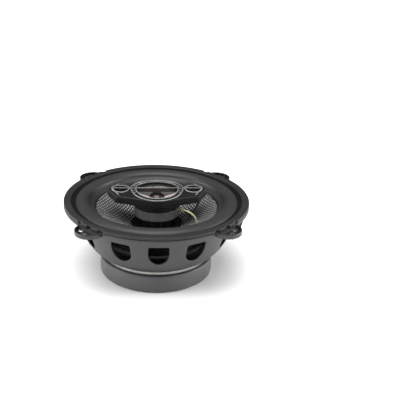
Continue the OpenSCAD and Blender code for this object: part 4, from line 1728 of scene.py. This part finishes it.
@dataclass
class Wiring:
    """Leads, eyelets on the cone, terminals and the crossover capacitor."""

    light_eyelet: Point2 = (27.4, -12.7)
    dark_eyelet: Point2 = (17.5, -11.5)
    block_place: tuple[float, float, float] = (53.3, 0.0, -12.5)
    block_lean: float = 18.0
    front: Front = default_field(default_factory=Front)
    leads: tuple[Lead, ...] = (
        Lead("tweeter_lead_light", CREAM, (
            (13.0, -8.1, 1.7), (15.8, -10.2, 1.9), (18.6, -11.9, 1.8), (21.4, -13.0, 1.1),
            (24.1, -13.5, -0.5), (26.0, -13.3, -2.6), (26.9, -13.0, -4.6))),
        Lead("tweeter_lead_dark", BLACK_LEAD, (
            (30.0, -3.0, 7.7), (29.3, -4.2, 5.2), (27.9, -6.0, 2.6), (25.8, -8.2, 0.0),
            (23.2, -10.2, -2.8), (20.6, -11.5, -5.8), (18.2, -11.8, -8.2), (17.0, -11.6, -9.9))),
        Lead("tinsel_lead_wide", TINSEL, (
            (46.2, -3.4, -10.2), (43.0, -4.4, -12.2), (39.4, -6.8, -13.4), (35.6, -9.4, -13.2),
            (32.0, -11.4, -11.8), (29.4, -12.6, -9.8), (28.3, -13.1, -8.6))),
        Lead("tinsel_lead_narrow", TINSEL, (
            (46.2, 3.4, -10.2), (42.6, 2.6, -12.6), (38.4, 0.4, -14.6), (34.0, -2.8, -16.2),
            (29.4, -6.2, -16.9), (25.0, -9.2, -16.6), (21.0, -11.4, -15.2), (18.9, -12.4, -13.6))),
    )

    def build(self) -> None:
        """Makes the wiring."""
        for lead in self.leads:
            lead.build()
        self.build_eyelets()
        self.build_terminals()
        self.build_capacitor()

    def _on_cone(self, place: Point2) -> Matrix:
        """A frame on the cone's face at a point, with Z along its outward normal."""
        radius, turn = math.hypot(*place), math.atan2(place[1], place[0])
        spot = Matrix.Translation((*place, self.front.cone_height(radius)))
        lean = Matrix.Rotation(-math.atan(self.front.slope), 4, "Y")
        return spot @ Matrix.Rotation(turn, 4, "Z") @ lean

    def build_eyelets(self) -> None:
        """Brass eyelets, each with a drop of solder."""
        brass, solder = Shape("cone_eyelets"), Shape("eyelet_solder")
        for place in (self.light_eyelet, self.dark_eyelet):
            skin = rounded([
                (0.45, -1.1, 0.1), (1.5, -1.1, 0.12), (1.5, -0.75, 0.12), (1.0, -0.7, 0.0), (1.0, 0.06, 0.0),
                (1.7, 0.06, 0.1), (1.7, 0.36, 0.14), (1.0, 0.5, 0.1), (0.45, 0.5, 0.1)], 3)
            brass.add(Shape("one").spin(skin).place(self._on_cone(place)))
            drop = [(0.0, -0.4), (0.42, -0.4), (0.75, 0.5), (0.7, 0.85), (0.45, 1.15), (0.0, 1.3)]
            solder.add(Shape("one").spin(drop).place(self._on_cone(place)))
        brass.finish(BRASS, Body.CONE, ["cone_eyelets"])
        solder.finish(STEEL, Body.CONE, sharp=80.0)

    def _on_bowl(self) -> Matrix:
        """The frame that the terminal block stands in, leaning with the bowl."""
        return Matrix.Translation(self.block_place) @ Matrix.Rotation(math.radians(self.block_lean), 4, "Y")

    @staticmethod
    def _box(shape: Shape, low: Corner, high: Corner, ease: float) -> None:
        """Adds a block with rounded edges.

        Args:
            shape: what it is added to.
            low: its lowest corner.
            high: its highest corner.
            ease: the rounding of its edges.
        """
        sides = ((low[1], low[2]), (high[1], low[2]), (high[1], high[2]), (low[1], high[2]))
        outline = rounded([(y, z, ease) for y, z in sides], 4)
        block = Shape("block").plate([outline], low[0], high[0], ease * 0.8)
        shape.add(block.place(UPRIGHT))

    def build_terminals(self) -> None:
        """The moulded block, its two blades with their tails, and two rivets."""
        lean = self._on_bowl()
        block = Shape("terminal_block")
        self._box(block, (0.7, -8.6, -7.0), (2.6, 8.6, 7.0), 0.4)
        self._box(block, (-4.6, -5.4, -4.2), (1.0, 5.4, 4.8), 0.3)
        self._box(block, (2.5, -7.4, -3.0), (6.3, 7.4, 5.4), 0.5)
        block.place(lean).finish(POD, nodes=["terminal_block"])
        lugs = Shape("terminal_lugs")
        for start, width in ((-5.8, 4.8), (2.0, 2.8)):
            middle = start + width / 2
            end = start + width
            corners = [(start + 0.5, -11.0, 0.3), (end - 0.5, -11.0, 0.3), (end, -10.2, 0.3),
                       (end, 2.7, 0.2), (start, 2.7, 0.2), (start, -10.2, 0.3)]
            hole = [(middle + x, -8.2 + y) for x, y in arc_points(0.6, 0, 360, 20)[:-1]]
            blade = Shape("blade").plate([rounded(corners, 3), hole], 4.2, 5.0, 0.12)
            lugs.add(blade.place(UPRIGHT))
            self._box(lugs, (-6.6, middle - 1.0, 2.05), (4.6, middle + 1.0, 2.75), 0.1)
        lugs.place(lean).finish(BRASS, nodes=["terminal_lugs"])
        rivets = Shape("terminal_rivets")
        for side in (-1, 1):
            skin = [(0.0, -3.6), (0.9, -3.6), (1.0, -3.4), (1.0, 1.0)]
            skin += [(1.7, 1.02), (1.65, 1.3), (1.3, 1.55), (0.0, 1.62)]
            axis = Matrix.Translation((1.6, side * 7.2, -5.4)) @ Matrix.Rotation(math.pi / 2, 4, "Y")
            rivets.add(Shape("one").spin(skin).place(axis))
        rivets.place(lean).finish(STEEL, nodes=["terminal_rivets"], sharp=50.0)

    def build_capacitor(self) -> None:
        """The sleeved capacitor with its rolled groove and two wires."""
        room = Room("crossover_capacitor")
        middle = (room.low + room.high) / 2
        skin = rounded([
            (0.0, -5.5, 0.0), (3.1, -5.5, 0.5), (3.1, 3.9, 0.2), (2.8, 4.2, 0.2), (2.8, 4.5, 0.2),
            (3.1, 4.8, 0.2), (3.1, 5.5, 0.4), (2.2, 5.5, 0.1), (2.2, 5.35, 0.1), (0.0, 5.35, 0.0)], 4)
        turn = Matrix.Translation(middle) @ Matrix.Rotation(math.pi / 2, 4, "X")
        Shape("crossover_capacitor").spin(skin).place(turn).finish(SLEEVE, nodes=["crossover_capacitor"])
        wires = Shape("capacitor_wires")
        for side in (-1, 1):
            wires.tube([Vector((0, 0, side * z)) for z in (5.2, 6.0, 6.8, 7.5)], 0.32)
        wires.place(turn).finish(STEEL)


# --------------------------------------------------------------------------- studio


@dataclass
class Studio:
    """Floor, lights and camera."""

    aim: tuple[float, float, float] = (35.8, -5.3, 0.5)
    azimuth: float = -4.94
    elevation: float = 23.90
    roll: float = 1.97
    distance: float = 714.3
    lens: float = 88.0
    room_light: float = 0.06
    sky_light: float = 4.3
    sky_spread: float = 56.0

    def build(self) -> None:
        """Sets the studio up round the object."""
        self.build_floor()
        self.build_lights()
        self.build_camera()

    def build_floor(self) -> None:
        """A wide pale floor under the object."""
        low = CAD_BOX[0].z
        size = 6.0
        data = bpy.data.meshes.new("floor")
        corners = [(-size, -size, low), (size, -size, low), (size, size, low), (-size, size, low)]
        data.from_pydata(corners, [], [(0, 1, 2, 3)])
        tree = Tree("studio_floor", Roughness=0.85, Specular_IOR_Level=0.1)
        mottle = tree.noise(60.0, 2.0)
        tree.plug(tree.shader, "Base Color", tree.mix(mottle, (0.93, 0.93, 0.93), (0.90, 0.90, 0.90)))
        data.materials.append(tree.material)
        floor = bpy.data.objects.new("floor", data)
        bpy.context.scene.collection.objects.link(floor)

    @staticmethod
    def softbox(name: str, place: Vector, aim: Vector, size: Point2, watts: float) -> None:
        """Hangs one rectangular soft light.

        Args:
            name: the light's name.
            place: where it hangs, in metres.
            aim: what it points at.
            size: its width and height in metres.
            watts: its power.
        """
        data = bpy.data.lights.new(name, "AREA")
        data.shape = "RECTANGLE"
        data.size, data.size_y = size
        data.energy = watts
        lamp = bpy.data.objects.new(name, data)
        lamp.location = place
        lamp.rotation_mode = "QUATERNION"
        lamp.rotation_quaternion = (aim - place).to_track_quat("-Z", "Y")
        bpy.context.scene.collection.objects.link(lamp)

    def build_lights(self) -> None:
        """A dim room under one broad, soft light from above, with softboxes to the left and right."""
        world = bpy.data.worlds.new("studio")
        world.use_nodes = True
        back = world.node_tree.nodes["Background"]
        back.inputs["Color"].default_value = (1.0, 1.0, 1.0, 1.0)
        back.inputs["Strength"].default_value = self.room_light
        scene = bpy.context.scene
        scene.world = world
        scene.view_settings.view_transform = "Standard"
        data = bpy.data.lights.new("sky", "SUN")
        data.angle = math.radians(self.sky_spread)
        data.energy = self.sky_light
        sky = bpy.data.objects.new("sky", data)
        sky.rotation_euler = (math.radians(9), math.radians(-5), 0.0)
        scene.collection.objects.link(sky)
        aim = Vector((0.0, 0.0, -0.02))
        self.softbox("softbox_left", Vector((-0.8, -0.05, 0.2)), aim, (0.5, 0.5), 7.0)
        self.softbox("softbox_right", Vector((0.8, -0.05, 0.2)), aim, (0.5, 0.5), 8.0)

    def build_camera(self) -> None:
        """The camera, looking down on the front edge of the speaker."""
        turn, rise = math.radians(self.azimuth), math.radians(self.elevation)
        forward = Vector((-math.sin(turn) * math.cos(rise), math.cos(turn) * math.cos(rise), -math.sin(rise)))
        right = forward.cross(Vector((0.0, 0.0, 1.0))).normalized()
        up = right.cross(forward)
        lean = math.radians(self.roll)
        side = math.cos(lean) * right + math.sin(lean) * up
        high = math.cos(lean) * up - math.sin(lean) * right
        place = (Vector(self.aim) - forward * self.distance) * MM
        data = bpy.data.cameras.new("camera")
        data.lens = self.lens
        data.sensor_width = 36.0
        data.clip_start, data.clip_end = 0.05, 20.0
        camera = bpy.data.objects.new("camera", data)
        turned = Matrix((side, high, -forward)).transposed().to_4x4()
        camera.matrix_world = Matrix.Translation(place) @ turned
        bpy.context.scene.collection.objects.link(camera)
        bpy.context.scene.camera = camera


def main() -> None:
    """Builds the speaker and its studio."""
    logging.basicConfig(level=logging.INFO, format="%(name)s: %(message)s")
    Studio().build()
    for assembly in (Basket(), Front(), Motor(), Midrange(), Pod(), Wiring()):
        LOG.info("building %s", type(assembly).__name__)
        assembly.build()


if __name__ == "__main__":
    main()
